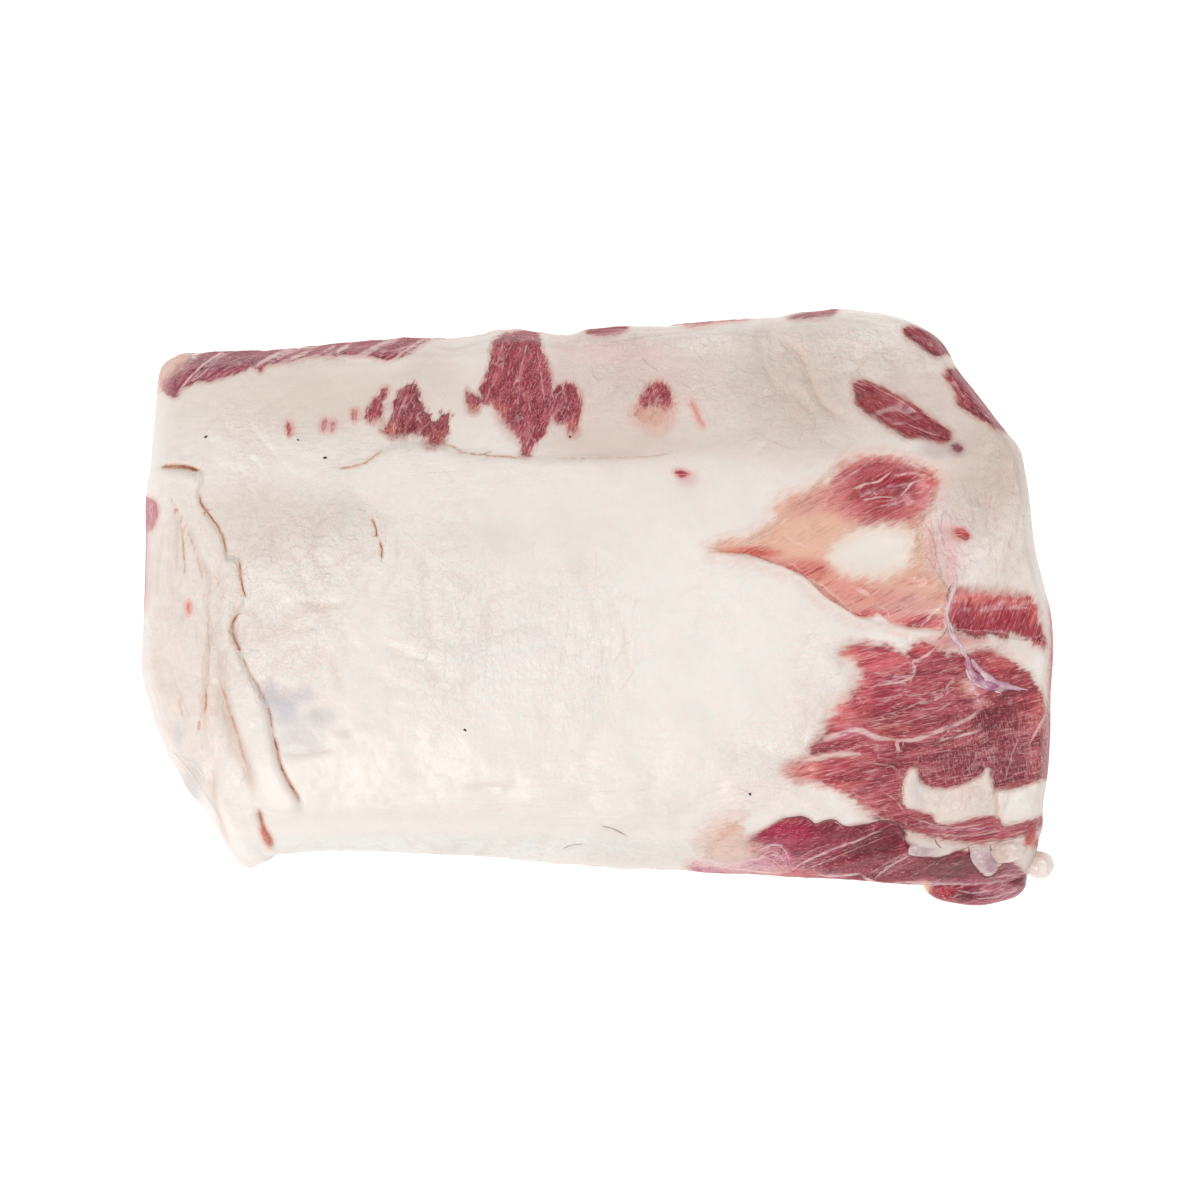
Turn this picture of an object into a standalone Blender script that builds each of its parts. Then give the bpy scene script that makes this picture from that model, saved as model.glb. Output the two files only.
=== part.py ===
"""A raw rack of pork, fat side up: one solid of lean, fat and ribs, and three gristle tips set in it.

Metres, +Z up, fat side up. +X runs from the loin end to the shoulder end. The spine's edge is at -Y and
the cut ends of the ribs are at +Y. The origin is at the middle of the underside, where the rack rests.
"""

import math

import bmesh
import bpy
import numpy as np
from mathutils import Matrix

# The outline seen from above, as four edges. Each is a smooth curve through the places where it turns.
RIB_EDGE = (
    (-0.184, 0.104), (-0.141, 0.108), (-0.066, 0.114), (-0.040, 0.117), (-0.015, 0.115),
    (0.044, 0.120), (0.102, 0.126), (0.130, 0.122),
)
SPINE_EDGE = (
    (-0.147, -0.108), (-0.138, -0.105), (-0.120, -0.102), (-0.074, -0.102), (-0.015, -0.107),
    (0.052, -0.110), (0.111, -0.113), (0.161, -0.117), (0.181, -0.115),
)
LOIN_END = (
    (-0.184, 0.104), (-0.188, 0.067), (-0.190, 0.037), (-0.191, -0.017),
    (-0.185, -0.051), (-0.165, -0.084), (-0.155, -0.102), (-0.147, -0.108),
)
SHOULDER_END = (
    (0.130, 0.122), (0.150, 0.106), (0.165, 0.084), (0.178, 0.067), (0.184, 0.025),
    (0.191, -0.013), (0.190, -0.055), (0.188, -0.093), (0.181, -0.115),
)

# Height of the fat side over the board, from the spine's edge to the rib ends.
ACROSS = (
    (-0.117, 0.046), (-0.098, 0.061), (-0.080, 0.071), (-0.050, 0.078), (-0.010, 0.080),
    (0.030, 0.077), (0.055, 0.073), (0.066, 0.070), (0.090, 0.060), (0.126, 0.046),
)
LOIN_END_DROP = 0.010  # how much lower the fat side is at each end
SHOULDER_END_DROP = 0.006
END_DROP_LENGTH = 0.075

# Where the outline is widest, and how far the top and the underside round off from it.
RIM_AT_SPINE, RIM_AT_RIBS = 0.030, 0.022
ROUND_SPINE, ROUND_RIBS = 0.024, 0.011
ROUND_LOIN_END, ROUND_SHOULDER_END = 0.015, 0.009
UNDER_ROUND = 0.007

# The loose fold of fat over the loin end: its free edge runs down the rack, then under the corner.
FOLD_THICK = 0.0036
FOLD_OUTLINE = (
    (-0.230, 0.058), (-0.181, 0.059), (-0.168, 0.058), (-0.163, 0.040), (-0.155, 0.022),
    (-0.148, 0.004), (-0.152, -0.006), (-0.146, -0.026), (-0.139, -0.039), (-0.133, -0.065),
    (-0.125, -0.082), (-0.131, -0.089), (-0.140, -0.091), (-0.138, -0.125), (-0.230, -0.125),
)
# The thick fat over the eye of the loin ends in a low step, beyond which the ribs' cover is thinner.
STEP_LINE = (
    (-0.110, 0.059), (-0.089, 0.067), (-0.070, 0.069), (-0.049, 0.065), (0.035, 0.066), (0.060, 0.062),
)
STEP_HEIGHT = 0.0024
# Lean that the knife laid bare at the shoulder end lies lower than the fat round it.
BARE_LEAN = (
    (0.108, -0.017), (0.160, -0.014), (0.200, -0.038), (0.200, -0.100), (0.128, -0.092),
    (0.104, -0.074), (0.096, -0.058),
)
BARE_DEPTH = 0.0022
# The slope of dark lean under it, behind a sharp edge of fat.
DARK_LEAN = (
    (0.052, -0.125), (0.060, -0.099), (0.070, -0.089), (0.086, -0.087), (0.098, -0.091),
    (0.115, -0.090), (0.136, -0.098), (0.200, -0.104), (0.200, -0.130),
)
DARK_DEPTH = 0.0034
# The strip of pale gristle that crosses the bare lean.
GRISTLE_STRIP = (
    (0.129, -0.067), (0.135, -0.073), (0.152, -0.074), (0.164, -0.067), (0.169, -0.075),
    (0.200, -0.072), (0.200, -0.088), (0.169, -0.092), (0.160, -0.087), (0.133, -0.084),
)
GRISTLE_THICK = 0.0026

# Ribs cross the underside as flat crests with hollows between them.
RIB_COUNT = 12
RIB_CREST = 0.40  # share of the pitch that rests on the board
HOLLOW_DEPTH = 0.0040
# Their sawn ends show in the flesh, and so do the split bones of the spine: half sizes and height.
RIB_END_HALF, RIB_END_Z = (0.0068, 0.0042), 0.0115
SPINE_BONE_HALF, SPINE_BONE_Z = (0.0115, 0.0085), 0.0155
SPINE_BONES = 10  # from the loin end, as the lobe of muscle hides the rest
BONE_INSET = 0.0004  # how far behind the widest outline a bone's face lies
BONE_LENGTH = 0.016

# The lobe of muscle that hangs from under the spine's edge: centre and half sizes.
LOBE_AT, LOBE_SIZE = (0.160, -0.112, 0.0165), (0.0245, 0.0135, 0.0135)

# Gristle tips of the spine: centre, half sizes, and tilts about X and Z in degrees.
TIPS = {
    "gristle_tip_1": ((0.1425, -0.0990, 0.0530), (0.0145, 0.0070, 0.0038), 34, -4),
    "gristle_tip_2": ((0.1690, -0.1035, 0.0500), (0.0104, 0.0084, 0.0046), 38, -6),
    "gristle_tip_3": ((0.1822, -0.1070, 0.0375), (0.0092, 0.0050, 0.0050), 0, -8),
}
TIP_GAP = 0.0004

# Rows of the surface: those of each rounded edge, and those between.
EDGE_ROWS, ROWS_ALONG, ROWS_ACROSS = 6, 110, 62
MOST_TRIANGLES = 8800
TIP_SEGMENTS, LOBE_SEGMENTS = 18, 26


def ramp(value, start, end):
    """0 before start, 1 after end, and a smooth step between."""
    share = np.clip((value - start) / (end - start), 0, 1)
    return share * share * (3 - 2 * share)


def lattice_noise(x, y, cell, seed):
    """Seeded heights from -1 to 1 on a square lattice of that cell, blended smoothly between."""
    heights = np.random.default_rng(seed).uniform(-1, 1, (64, 64))
    u, v = x / cell + 32, y / cell + 32
    i, j = np.floor(u).astype(int), np.floor(v).astype(int)
    fu, fv = ramp(u - i, 0, 1), ramp(v - j, 0, 1)
    near = heights[i % 64, j % 64] * (1 - fu) + heights[(i + 1) % 64, j % 64] * fu
    far = heights[i % 64, (j + 1) % 64] * (1 - fu) + heights[(i + 1) % 64, (j + 1) % 64] * fu
    return near * (1 - fv) + far * fv


def curve_through(points, shares):
    """A Catmull-Rom curve through the points, read at shares of its length."""
    points = np.array(points, float)
    padded = np.vstack([2 * points[0] - points[1], points, 2 * points[-1] - points[-2]])
    steps = np.hypot(*np.diff(points, axis=0).T)
    starts = np.concatenate([[0], np.cumsum(steps)]) / steps.sum()
    piece = np.clip(np.searchsorted(starts, shares, side="right") - 1, 0, len(steps) - 1)
    t = ((shares - starts[piece]) / (starts[piece + 1] - starts[piece]))[:, None]
    a, b, c, d = (padded[piece + k] for k in range(4))
    return 0.5 * (2 * b + (c - a) * t + (2 * a - 5 * b + 4 * c - d) * t**2 + (3 * b - a - 3 * c + d) * t**3)


def inside_distance(x, y, outline):
    """Distance to a closed outline in plan: positive inside it, negative outside."""
    nearest = np.full(np.shape(x), np.inf)
    inside = np.zeros(np.shape(x), bool)
    for (ax, ay), (bx, by) in zip(outline, outline[1:] + outline[:1]):
        share = np.clip(((x - ax) * (bx - ax) + (y - ay) * (by - ay)) / ((bx - ax) ** 2 + (by - ay) ** 2), 0, 1)
        nearest = np.minimum(nearest, np.hypot(x - ax - share * (bx - ax), y - ay - share * (by - ay)))
        if ay != by:
            inside ^= ((ay > y) != (by > y)) & (x < (bx - ax) * (y - ay) / (by - ay) + ax)
    return np.where(inside, nearest, -nearest)


def edge_spacing(rows, first_share, last_share):
    """Shares from 0 to 1: rows of equal turn over the two rounded edges, and even rows between."""
    turn = np.linspace(0, math.pi / 2, EDGE_ROWS + 1)
    first = first_share * (1 - np.cos(turn))
    last = 1 - last_share * (1 - np.cos(turn[::-1]))
    middle = np.linspace(first[-1], last[0], rows - 2 * EDGE_ROWS + 1)
    return np.concatenate([first[:-1], middle, last[1:]])


def plan_grid():
    """The outline filled with a grid: each point blends the four edges (a Coons patch).

    The shares along the rack come with it, one for each row.
    """
    length, width = 0.38, 0.22
    s = edge_spacing(ROWS_ALONG, ROUND_LOIN_END / length, ROUND_SHOULDER_END / length)
    t = edge_spacing(ROWS_ACROSS, ROUND_SPINE / width, ROUND_RIBS / width)
    low, high = curve_through(SPINE_EDGE, s)[:, None], curve_through(RIB_EDGE, s)[:, None]
    left, right = curve_through(LOIN_END, 1 - t)[None], curve_through(SHOULDER_END, 1 - t)[None]
    s, t = s[:, None, None], t[None, :, None]
    corners = (1 - s) * ((1 - t) * low[0] + t * high[0]) + s * ((1 - t) * low[-1] + t * high[-1])
    return (1 - t) * low + t * high + (1 - s) * left + s * right - corners, s[..., 0]


def fat_side_height(x, y):
    """Height of the fat side: the loin's swell, the fold, the step, the bare lean and the gristle."""
    height = curve_heights(y)
    height -= LOIN_END_DROP * ramp(-x, 0.190 - END_DROP_LENGTH, 0.195)
    height -= SHOULDER_END_DROP * ramp(x, 0.190 - END_DROP_LENGTH, 0.195)
    height += 0.0014 * lattice_noise(x, y, 0.045, 1) + 0.0006 * lattice_noise(x, y, 0.017, 2)

    fold = inside_distance(x, y, FOLD_OUTLINE)
    height += FOLD_THICK * ramp(fold, -0.001, 0.003) * (1 - 0.5 * ramp(fold, 0.010, 0.050))
    step_y = np.interp(x, *np.transpose(STEP_LINE))
    fades = ramp(x, -0.125, -0.090) * (1 - ramp(x, 0.030, 0.075))
    height -= STEP_HEIGHT * ramp(y, step_y - 0.002, step_y + 0.003) * (1 - ramp(y, step_y + 0.01, 0.105)) * fades
    height -= BARE_DEPTH * ramp(inside_distance(x, y, BARE_LEAN), -0.002, 0.008)
    height -= DARK_DEPTH * ramp(inside_distance(x, y, DARK_LEAN), -0.001, 0.003)
    height += GRISTLE_THICK * ramp(inside_distance(x, y, GRISTLE_STRIP), -0.001, 0.002)
    return height


def curve_heights(y):
    """The swell across the rack: a smooth curve through the named heights."""
    swell = curve_through(ACROSS, np.linspace(0, 1, 200))
    return np.interp(y, swell[:, 0], swell[:, 1])


def underside_height(share):
    """Flat rib crests at 0, with rounded hollows of flesh between them, at that share of the length."""
    from_crest = np.abs((share * RIB_COUNT) % 1 - 0.5) * 2
    return HOLLOW_DEPTH * ramp(from_crest, RIB_CREST, 1)


def rounding(near, far, near_round, far_round):
    """0 on the outline and 1 past its rounded edges, rising as a quarter of an ellipse."""
    rise = 1.0
    for gap, size in ((near, near_round), (far, far_round)):
        rise = rise * np.sqrt(1 - (1 - np.clip(gap / size, 0, 1)) ** 2)
    return rise


def sheet_points(grid, share):
    """The top and the underside over one plan grid. They meet on the widest outline."""
    x, y = grid[..., 0], grid[..., 1]
    along = [np.hypot(x - x[end, :], y - y[end, :]) for end in (slice(0, 1), slice(-1, None))]
    across = [np.hypot(x - x[:, end], y - y[:, end]) for end in (slice(0, 1), slice(-1, None))]
    rim = RIM_AT_SPINE + (RIM_AT_RIBS - RIM_AT_SPINE) * ramp(y, -0.110, 0.120)
    top_rise = rounding(*along, ROUND_LOIN_END, ROUND_SHOULDER_END) * rounding(*across, ROUND_SPINE, ROUND_RIBS)
    under_rise = rounding(*along, UNDER_ROUND, UNDER_ROUND) * rounding(*across, UNDER_ROUND, UNDER_ROUND)
    top = rim + (fat_side_height(x, y) - rim) * top_rise
    under = rim + (underside_height(share) - rim) * under_rise
    return np.stack([x, y, top], -1), np.stack([x, y, under], -1)


def slab_mesh():
    """Both sheets as one closed mesh, welded along the outline."""
    top, under = sheet_points(*plan_grid())
    rows, columns = top.shape[:2]
    corner = np.arange(rows * columns).reshape(rows, columns)
    square = np.stack([corner[:-1, :-1], corner[1:, :-1], corner[1:, 1:], corner[:-1, 1:]], -1).reshape(-1, 4)
    on_rim = np.ones((rows, columns), bool)
    on_rim[1:-1, 1:-1] = False
    lower = np.where(on_rim, corner, corner + rows * columns).ravel()
    faces = np.concatenate([square, lower[square[:, ::-1]]])

    mesh = bpy.data.meshes.new("pork_rack")
    mesh.from_pydata(np.concatenate([top.reshape(-1, 3), under.reshape(-1, 3)]), [], faces.tolist())
    bm = bmesh.new()
    bm.from_mesh(mesh)
    bmesh.ops.delete(bm, geom=[v for v in bm.verts if not v.link_faces], context="VERTS")
    bmesh.ops.triangulate(bm, faces=bm.faces)
    bm.to_mesh(mesh)
    bm.free()
    return mesh


def ellipsoid(name, centre, half_sizes, tilts, segments, grow=0.0):
    """An object of that shape and place, its sizes applied to its mesh."""
    bm = bmesh.new()
    bmesh.ops.create_uvsphere(bm, u_segments=segments, v_segments=segments // 2, radius=1)
    bmesh.ops.scale(bm, vec=[half + grow for half in half_sizes], verts=bm.verts)
    mesh = bpy.data.meshes.new(name)
    bm.to_mesh(mesh)
    bm.free()
    mesh.shade_smooth()
    shape = bpy.data.objects.new(name, mesh)
    shape.location = centre
    shape.rotation_euler = (math.radians(tilts[0]), 0, math.radians(tilts[1]))
    bpy.context.scene.collection.objects.link(shape)
    return shape


def bone_face(name, centre, half_sizes):
    """An oval stub of bone that lies along Y, its face a little smaller than its root."""
    bm = bmesh.new()
    bmesh.ops.create_cone(bm, cap_ends=True, segments=14, radius1=1, radius2=0.86, depth=1)
    facing = 1 if centre[1] > 0 else -1
    bmesh.ops.rotate(bm, verts=bm.verts, matrix=Matrix.Rotation(-facing * math.pi / 2, 3, "X"))
    bmesh.ops.scale(bm, vec=(half_sizes[0], BONE_LENGTH, half_sizes[1]), verts=bm.verts)
    mesh = bpy.data.meshes.new(name)
    bm.to_mesh(mesh)
    bm.free()
    bone = bpy.data.objects.new(name, mesh)
    bone.location = (centre[0], centre[1] - facing * (BONE_LENGTH / 2 + BONE_INSET), centre[2])
    return bone


def bone_faces():
    """The rib ends along one edge and the split spine bones along the other, one pair to each rib."""
    shares = (np.arange(RIB_COUNT) + 0.5) / RIB_COUNT
    rib_ends = curve_through(RIB_EDGE, shares)
    spine_bones = curve_through(SPINE_EDGE, shares[:SPINE_BONES])
    return [
        bone_face(f"rib_end_{k + 1}", (x, y, RIB_END_Z), RIB_END_HALF) for k, (x, y) in enumerate(rib_ends)
    ] + [
        bone_face(f"spine_bone_{k + 1}", (x, y, SPINE_BONE_Z), SPINE_BONE_HALF)
        for k, (x, y) in enumerate(spine_bones)
    ]


def material(name, colour, roughness):
    made = bpy.data.materials.new(name)
    made.use_nodes = True
    shader = made.node_tree.nodes["Principled BSDF"]
    shader.inputs["Base Color"].default_value = (*colour, 1)
    shader.inputs["Roughness"].default_value = roughness
    shader.inputs["Metallic"].default_value = 0
    return made


def combine(slab, name, operation, helpers):
    """Joins helper shapes to the slab, or cuts them from it, in one Boolean, and hides them."""
    group = bpy.data.collections.new(name)
    bpy.context.scene.collection.children.link(group)
    for helper in helpers:
        for old in helper.users_collection:
            old.objects.unlink(helper)
        group.objects.link(helper)
        helper.hide_render = True
        helper.display_type = "WIRE"
    step = slab.modifiers.new(name, "BOOLEAN")
    step.operation = operation
    step.operand_type = "COLLECTION"
    step.collection = group


def make_slab():
    slab = bpy.data.objects.new("pork_rack", slab_mesh())
    bpy.context.scene.collection.objects.link(slab)
    slab.data.materials.append(material("raw_fat", (0.80, 0.69, 0.61), 0.42))

    fewer = slab.modifiers.new("fewer_triangles", "DECIMATE")
    fewer.ratio = MOST_TRIANGLES / len(slab.data.polygons)
    lobe = ellipsoid("hanging_lobe", LOBE_AT, LOBE_SIZE, (0, 3), LOBE_SEGMENTS)
    combine(slab, "bones_and_lobe", "UNION", [*bone_faces(), lobe])
    sockets = [
        ellipsoid(name + "_socket", centre, half_sizes, tilts, TIP_SEGMENTS, TIP_GAP)
        for name, (centre, half_sizes, *tilts) in TIPS.items()
    ]
    combine(slab, "sockets", "DIFFERENCE", sockets)
    return slab


def make_tips():
    gristle = material("gristle", (0.66, 0.55, 0.53), 0.30)
    for name, (centre, half_sizes, *tilts) in TIPS.items():
        ellipsoid(name, centre, half_sizes, tilts, TIP_SEGMENTS).data.materials.append(gristle)


def main():
    for old in list(bpy.data.objects):
        bpy.data.objects.remove(old)
    make_slab()
    make_tips()


main()
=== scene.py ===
"""The looks of a raw rack of pork that lies fat side up, seen from straight above on white.

The slab is one closed surface over a plan grid. Where a mark or an edge lies on it is named in the pixels
of a 1200 pixel square picture taken by this camera, and everything else is in metres.
"""
import math
from collections import namedtuple
import bpy
import numpy as np
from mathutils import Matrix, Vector
from mathutils.bvhtree import BVHTree


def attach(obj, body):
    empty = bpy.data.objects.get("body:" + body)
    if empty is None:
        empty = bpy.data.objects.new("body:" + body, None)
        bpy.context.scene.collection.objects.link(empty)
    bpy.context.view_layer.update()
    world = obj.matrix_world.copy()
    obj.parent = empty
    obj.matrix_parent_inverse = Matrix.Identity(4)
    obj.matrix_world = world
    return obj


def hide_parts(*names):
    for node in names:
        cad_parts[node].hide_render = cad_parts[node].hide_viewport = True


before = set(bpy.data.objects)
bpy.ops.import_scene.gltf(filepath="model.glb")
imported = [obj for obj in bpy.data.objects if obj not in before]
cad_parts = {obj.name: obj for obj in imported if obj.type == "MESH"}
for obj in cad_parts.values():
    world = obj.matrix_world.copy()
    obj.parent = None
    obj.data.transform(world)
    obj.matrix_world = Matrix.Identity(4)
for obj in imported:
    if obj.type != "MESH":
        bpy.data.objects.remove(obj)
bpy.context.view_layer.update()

# ---------------------------------------------------------------- camera and picture

CAMERA = (0.00147, 0.00378, 1.5)
PIXEL = 0.00042  # metres that one pixel spans at SCALE_HEIGHT over the floor
SCALE_HEIGHT = 0.035
PICTURE = 1200
SENSOR = 36.0
LIGHT = 1.22  # how bright a white surface facing up is under these lights
MIRRORED = 0.022  # how much of that light a wet dark surface mirrors
DARKEST = 0.004  # how dark a linear colour may get

# ---------------------------------------------------------------- form of the slab

# Its outline in pixels, as four edges.
RIB_EDGE = (
    (160, 362), (169, 357), (180, 354), (200, 352), (220, 350), (260, 350), (300, 348), (318, 345),
    (340, 343), (372, 340), (405, 338), (440, 338), (470, 336), (500, 330), (540, 331), (565, 335),
    (590, 328), (620, 326), (650, 326), (700, 322), (740, 319), (760, 319), (790, 314), (820, 311),
    (840, 309), (870, 312), (902, 318),
)
SPINE_EDGE = (
    (246, 868), (256, 864), (266, 860), (274, 855), (290, 853), (320, 851), (380, 851), (440, 854),
    (500, 857), (560, 864), (600, 867), (640, 869), (700, 872), (760, 875), (800, 878), (840, 879),
    (880, 882), (920, 885), (970, 884), (1010, 881), (1030, 876),
)
LOIN_END = (
    (160, 362), (156, 372), (153, 400), (150, 440), (148, 470), (144, 500), (144, 550), (142, 620),
    (140, 668), (144, 690), (150, 710), (156, 730), (165, 750), (175, 770), (186, 790), (203, 810),
    (216, 830), (227, 851), (236, 864), (246, 868),
)
SHOULDER_END = (
    (902, 318), (920, 327), (940, 339), (951, 353), (960, 371), (980, 397), (1000, 424), (1020, 450),
    (1025, 470), (1029, 495), (1035, 548), (1045, 590), (1051, 615), (1053, 650), (1051, 690), (1051, 730),
    (1049, 770), (1045, 800), (1045, 824), (1042, 838), (1040, 855), (1037, 868), (1030, 876),
)
# Height of the fat side from the spine's edge to the rib ends, as (y, height).
ACROSS = (
    (-0.117, 0.046), (-0.098, 0.061), (-0.080, 0.071), (-0.050, 0.078), (-0.010, 0.080), (0.030, 0.077),
    (0.055, 0.073), (0.066, 0.070), (0.090, 0.060), (0.126, 0.046),
)
LOIN_END_DROP, SHOULDER_END_DROP = 0.010, 0.006
END_DROP = (0.115, 0.195)  # how far out along X that drop begins and ends
SLOW_SWELL, QUICK_SWELL = 0.0009, 0.0004  # how far slow and quicker unevenness rise
RIM_AT_SPINE, RIM_AT_RIBS = 0.030, 0.022  # height of the widest outline
RIM_SLOPE = (-0.110, 0.120)  # from where to where along Y it passes from one to the other
ROUND_SPINE, ROUND_RIBS, ROUND_LOIN_END, ROUND_SHOULDER_END = 0.024, 0.011, 0.015, 0.009
UNDER_ROUND = 0.007
BULGE_AT_ENDS, BULGE_AT_RIBS = 0.014, 0.006  # how far above the rim the widest outline appears
BULGE_SLOPE = (0.0, 0.10)  # from where to where along Y the bulge at the ribs grows
RIB_COUNT, RIB_CREST, HOLLOW_DEPTH = 12, 0.40, 0.0040
RIB_PITCH = 0.030
UNDER_UNEVEN = 0.0005  # how far the flesh between the ribs is uneven
WRINKLE_RISE, GRAIN_RISE, FIBRE_RISE = 0.0021, 0.00014, 0.0006  # of the fat, of all of it, and of the lean
FIBRE_TURN = math.radians(14)
# Ovals of muscle that the end faces show: middle and radii, in y and z.
MUSCLES = (
    ((-0.052, 0.034), (0.044, 0.020)), ((0.030, 0.028), (0.030, 0.013)), ((0.084, 0.022), (0.016, 0.010)),
)
STEEP_EDGE = 0.009  # how far in from the outline the surface stands steep

# Rows of the surface over each rounded edge and between them. The underside has every second one.
LOIN_ROWS, LENGTH_ROWS, SHOULDER_ROWS = 32, 256, 32
SPINE_ROWS, WIDTH_ROWS, RIB_ROWS = 38, 172, 26
LENGTH, WIDTH = 0.38, 0.22
ROW_DENSITY = ((0.0, 1.35), (0.20, 1.30), (0.28, 0.75), (0.58, 0.75), (0.68, 1.25), (1.0, 1.35))
# How the two long edges waver: by how many pixels, over how many, and the seed.
RIB_WAVER, SPINE_WAVER = (1.6, 22, 81), (1.0, 26, 82)
TIP_GRID, LOBE_GRID, BONE_GRID, SPECK_GRID = (48, 80), (60, 110), (12, 36), (4, 8)  # rings and sides

LATTICE = 256  # squares along the lattice of noise, after which it repeats
# How far from an outline, a line and a ledge distances are measured, in pixels, and one beyond them all.
OUTLINE_REACH, LINE_REACH, LEDGE_REACH, FAR = 40.0, 25.0, 60.0, 99.0
LEDGE_FADE = 32.0  # how many pixels away a ledge has mostly faded


def ramp(value, start, end):
    """0 before start, 1 after end, and a smooth step between."""
    share = np.clip((value - start) / (end - start), 0, 1)
    return share * share * (3 - 2 * share)


def blend(first, second, weight):
    """First where the weight is 0 and second where it is 1."""
    return first * (1 - weight) + second * weight


def turned_plan(x, y, angle):
    """A place turned in its plane by radians."""
    return x * np.cos(angle) - y * np.sin(angle), x * np.sin(angle) + y * np.cos(angle)


def lattice_noise(x, y, cell, seed):
    """Seeded heights from -1 to 1 on a turned square lattice of that cell, blended smoothly between."""
    heights = np.random.default_rng(seed).uniform(-1, 1, (LATTICE, LATTICE))
    u, v = turned_plan(x, y, 0.6 + 1.1 * seed)
    u, v = u / cell + LATTICE / 2, v / cell + LATTICE / 2
    i, j = np.floor(u).astype(int), np.floor(v).astype(int)
    share_u, share_v = ramp(u - i, 0, 1), ramp(v - j, 0, 1)
    i, next_i, j, next_j = (index % LATTICE for index in (i, i + 1, j, j + 1))
    near = blend(heights[i, j], heights[next_i, j], share_u)
    far = blend(heights[i, next_j], heights[next_i, next_j], share_u)
    return blend(near, far, share_v)


def layered_noise(x, y, cell, seed, layers=3):
    """Lattice noise with finer and weaker layers added, each half the size of the one before."""
    return sum(lattice_noise(x, y, cell / 2**k, seed + k) / 2**k for k in range(layers))


def catmull_rom(a, b, c, d, t):
    """The curve from b to c at t from 0 to 1, which sets out along a to c and arrives along b to d."""
    return 0.5 * (2 * b + (c - a) * t + (2 * a - 5 * b + 4 * c - d) * t**2 + (3 * b - a - 3 * c + d) * t**3)


def curve_through(points, shares):
    """A Catmull-Rom curve through the points, read at shares of its length."""
    points = np.array(points, float)
    padded = np.vstack([2 * points[0] - points[1], points, 2 * points[-1] - points[-2]])
    steps = np.linalg.norm(np.diff(points, axis=0), axis=1)
    starts = np.concatenate([[0], np.cumsum(steps)]) / steps.sum()
    piece = np.clip(np.searchsorted(starts, shares, side="right") - 1, 0, len(steps) - 1)
    t = ((shares - starts[piece]) / (starts[piece + 1] - starts[piece]))[:, None]
    return catmull_rom(*(padded[piece + k] for k in range(4)), t)


def closed_curve(points):
    """A Catmull-Rom curve round the points, with four places to each side."""
    points = np.array(points, float)
    t = (np.arange(4) / 4)[None, :, None]
    return catmull_rom(*(np.roll(points, shift, 0)[:, None] for shift in (1, 0, -1, -2)), t).reshape(-1, 2)


def pixel_span(height):
    """Metres that one pixel spans at that height."""
    return PIXEL * (CAMERA[2] - height) / (CAMERA[2] - SCALE_HEIGHT)


def plan_of(pixels, height):
    """Where a pixel lies in plan, for something at that height."""
    span = pixel_span(height)
    right, down = pixels[..., 0] - PICTURE / 2, pixels[..., 1] - PICTURE / 2
    return CAMERA[0] + right * span, CAMERA[1] - down * span


def pixels_of(points):
    """The pixels at which the camera sees the points."""
    x, y, height = np.moveaxis(points, -1, 0)
    span = pixel_span(height)
    return np.stack([PICTURE / 2 + (x - CAMERA[0]) / span, PICTURE / 2 - (y - CAMERA[1]) / span], -1)


def close_to(at, path, reach):
    """Which places lie within reach of the box round a path."""
    return np.flatnonzero(((at > path.min(0) - reach) & (at < path.max(0) + reach)).all(1))


def segment_gap(x, y, start, end):
    """Distance to a straight segment, and the share of its length of the nearest place on it."""
    dx, dy = end - start
    from_x, from_y = x - start[0], y - start[1]
    share = np.clip((from_x * dx + from_y * dy) / (dx * dx + dy * dy + 1e-12), 0, 1)
    return np.hypot(from_x - share * dx, from_y - share * dy), share


def outline_distance(at, outline):
    """Distance in pixels to a closed outline: positive inside it, and no less than -OUTLINE_REACH outside."""
    corners = closed_curve(outline)
    distance = np.full(len(at), -OUTLINE_REACH)
    close = close_to(at, corners, OUTLINE_REACH)
    x, y = at[close].T
    nearest, inside = np.full(len(close), np.inf), np.zeros(len(close), bool)
    for start, end in zip(corners, np.roll(corners, -1, 0)):
        nearest = np.minimum(nearest, segment_gap(x, y, start, end)[0])
        if start[1] != end[1]:
            crossing = start[0] + (y - start[1]) * (end[0] - start[0]) / (end[1] - start[1])
            inside ^= ((start[1] > y) != (end[1] > y)) & (x < crossing)
    distance[close] = np.maximum(np.where(inside, nearest, -nearest), -OUTLINE_REACH)
    return distance


def line_distance(at, line, reach=LINE_REACH):
    """Signed distance in pixels to an open line, and the share of its length of the nearest place on it."""
    joints = curve_through(line, np.linspace(0, 1, 6 * len(line)))
    distance, along = np.full(len(at), reach), np.zeros(len(at))
    close = close_to(at, joints, reach)
    x, y = at[close].T
    best, side, place = np.full(len(close), np.inf), np.ones(len(close)), np.zeros(len(close))
    for k, (start, end) in enumerate(zip(joints[:-1], joints[1:])):
        gap, share = segment_gap(x, y, start, end)
        dx, dy = end - start
        nearer = gap < best
        best = np.where(nearer, gap, best)
        side = np.where(nearer, np.sign(dx * (y - start[1]) - dy * (x - start[0])), side)
        place = np.where(nearer, (k + share) / (len(joints) - 1), place)
    distance[close] = np.minimum(best, reach) * np.where(side == 0, 1, side)
    along[close] = place
    return distance, along


def trace(gap, along, width, start=-0.02, end=0.25):
    """1 on a line, falling as a bell curve beside it, its ends faded between two shares of its length."""
    return np.exp(-((gap / width) ** 2)) * ramp(np.minimum(along, 1 - along), start, end)


# ---------------------------------------------------------------- what lies on the slab, in pixels

# A patch: outline, colour, how ragged and how soft its edge is in pixels, and the angle of its grain.
Patch = namedtuple("Patch", "outline colour fray soft grain", defaults=(0,))


def patches(*rows):
    return tuple(Patch(*row) for row in rows)


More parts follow.
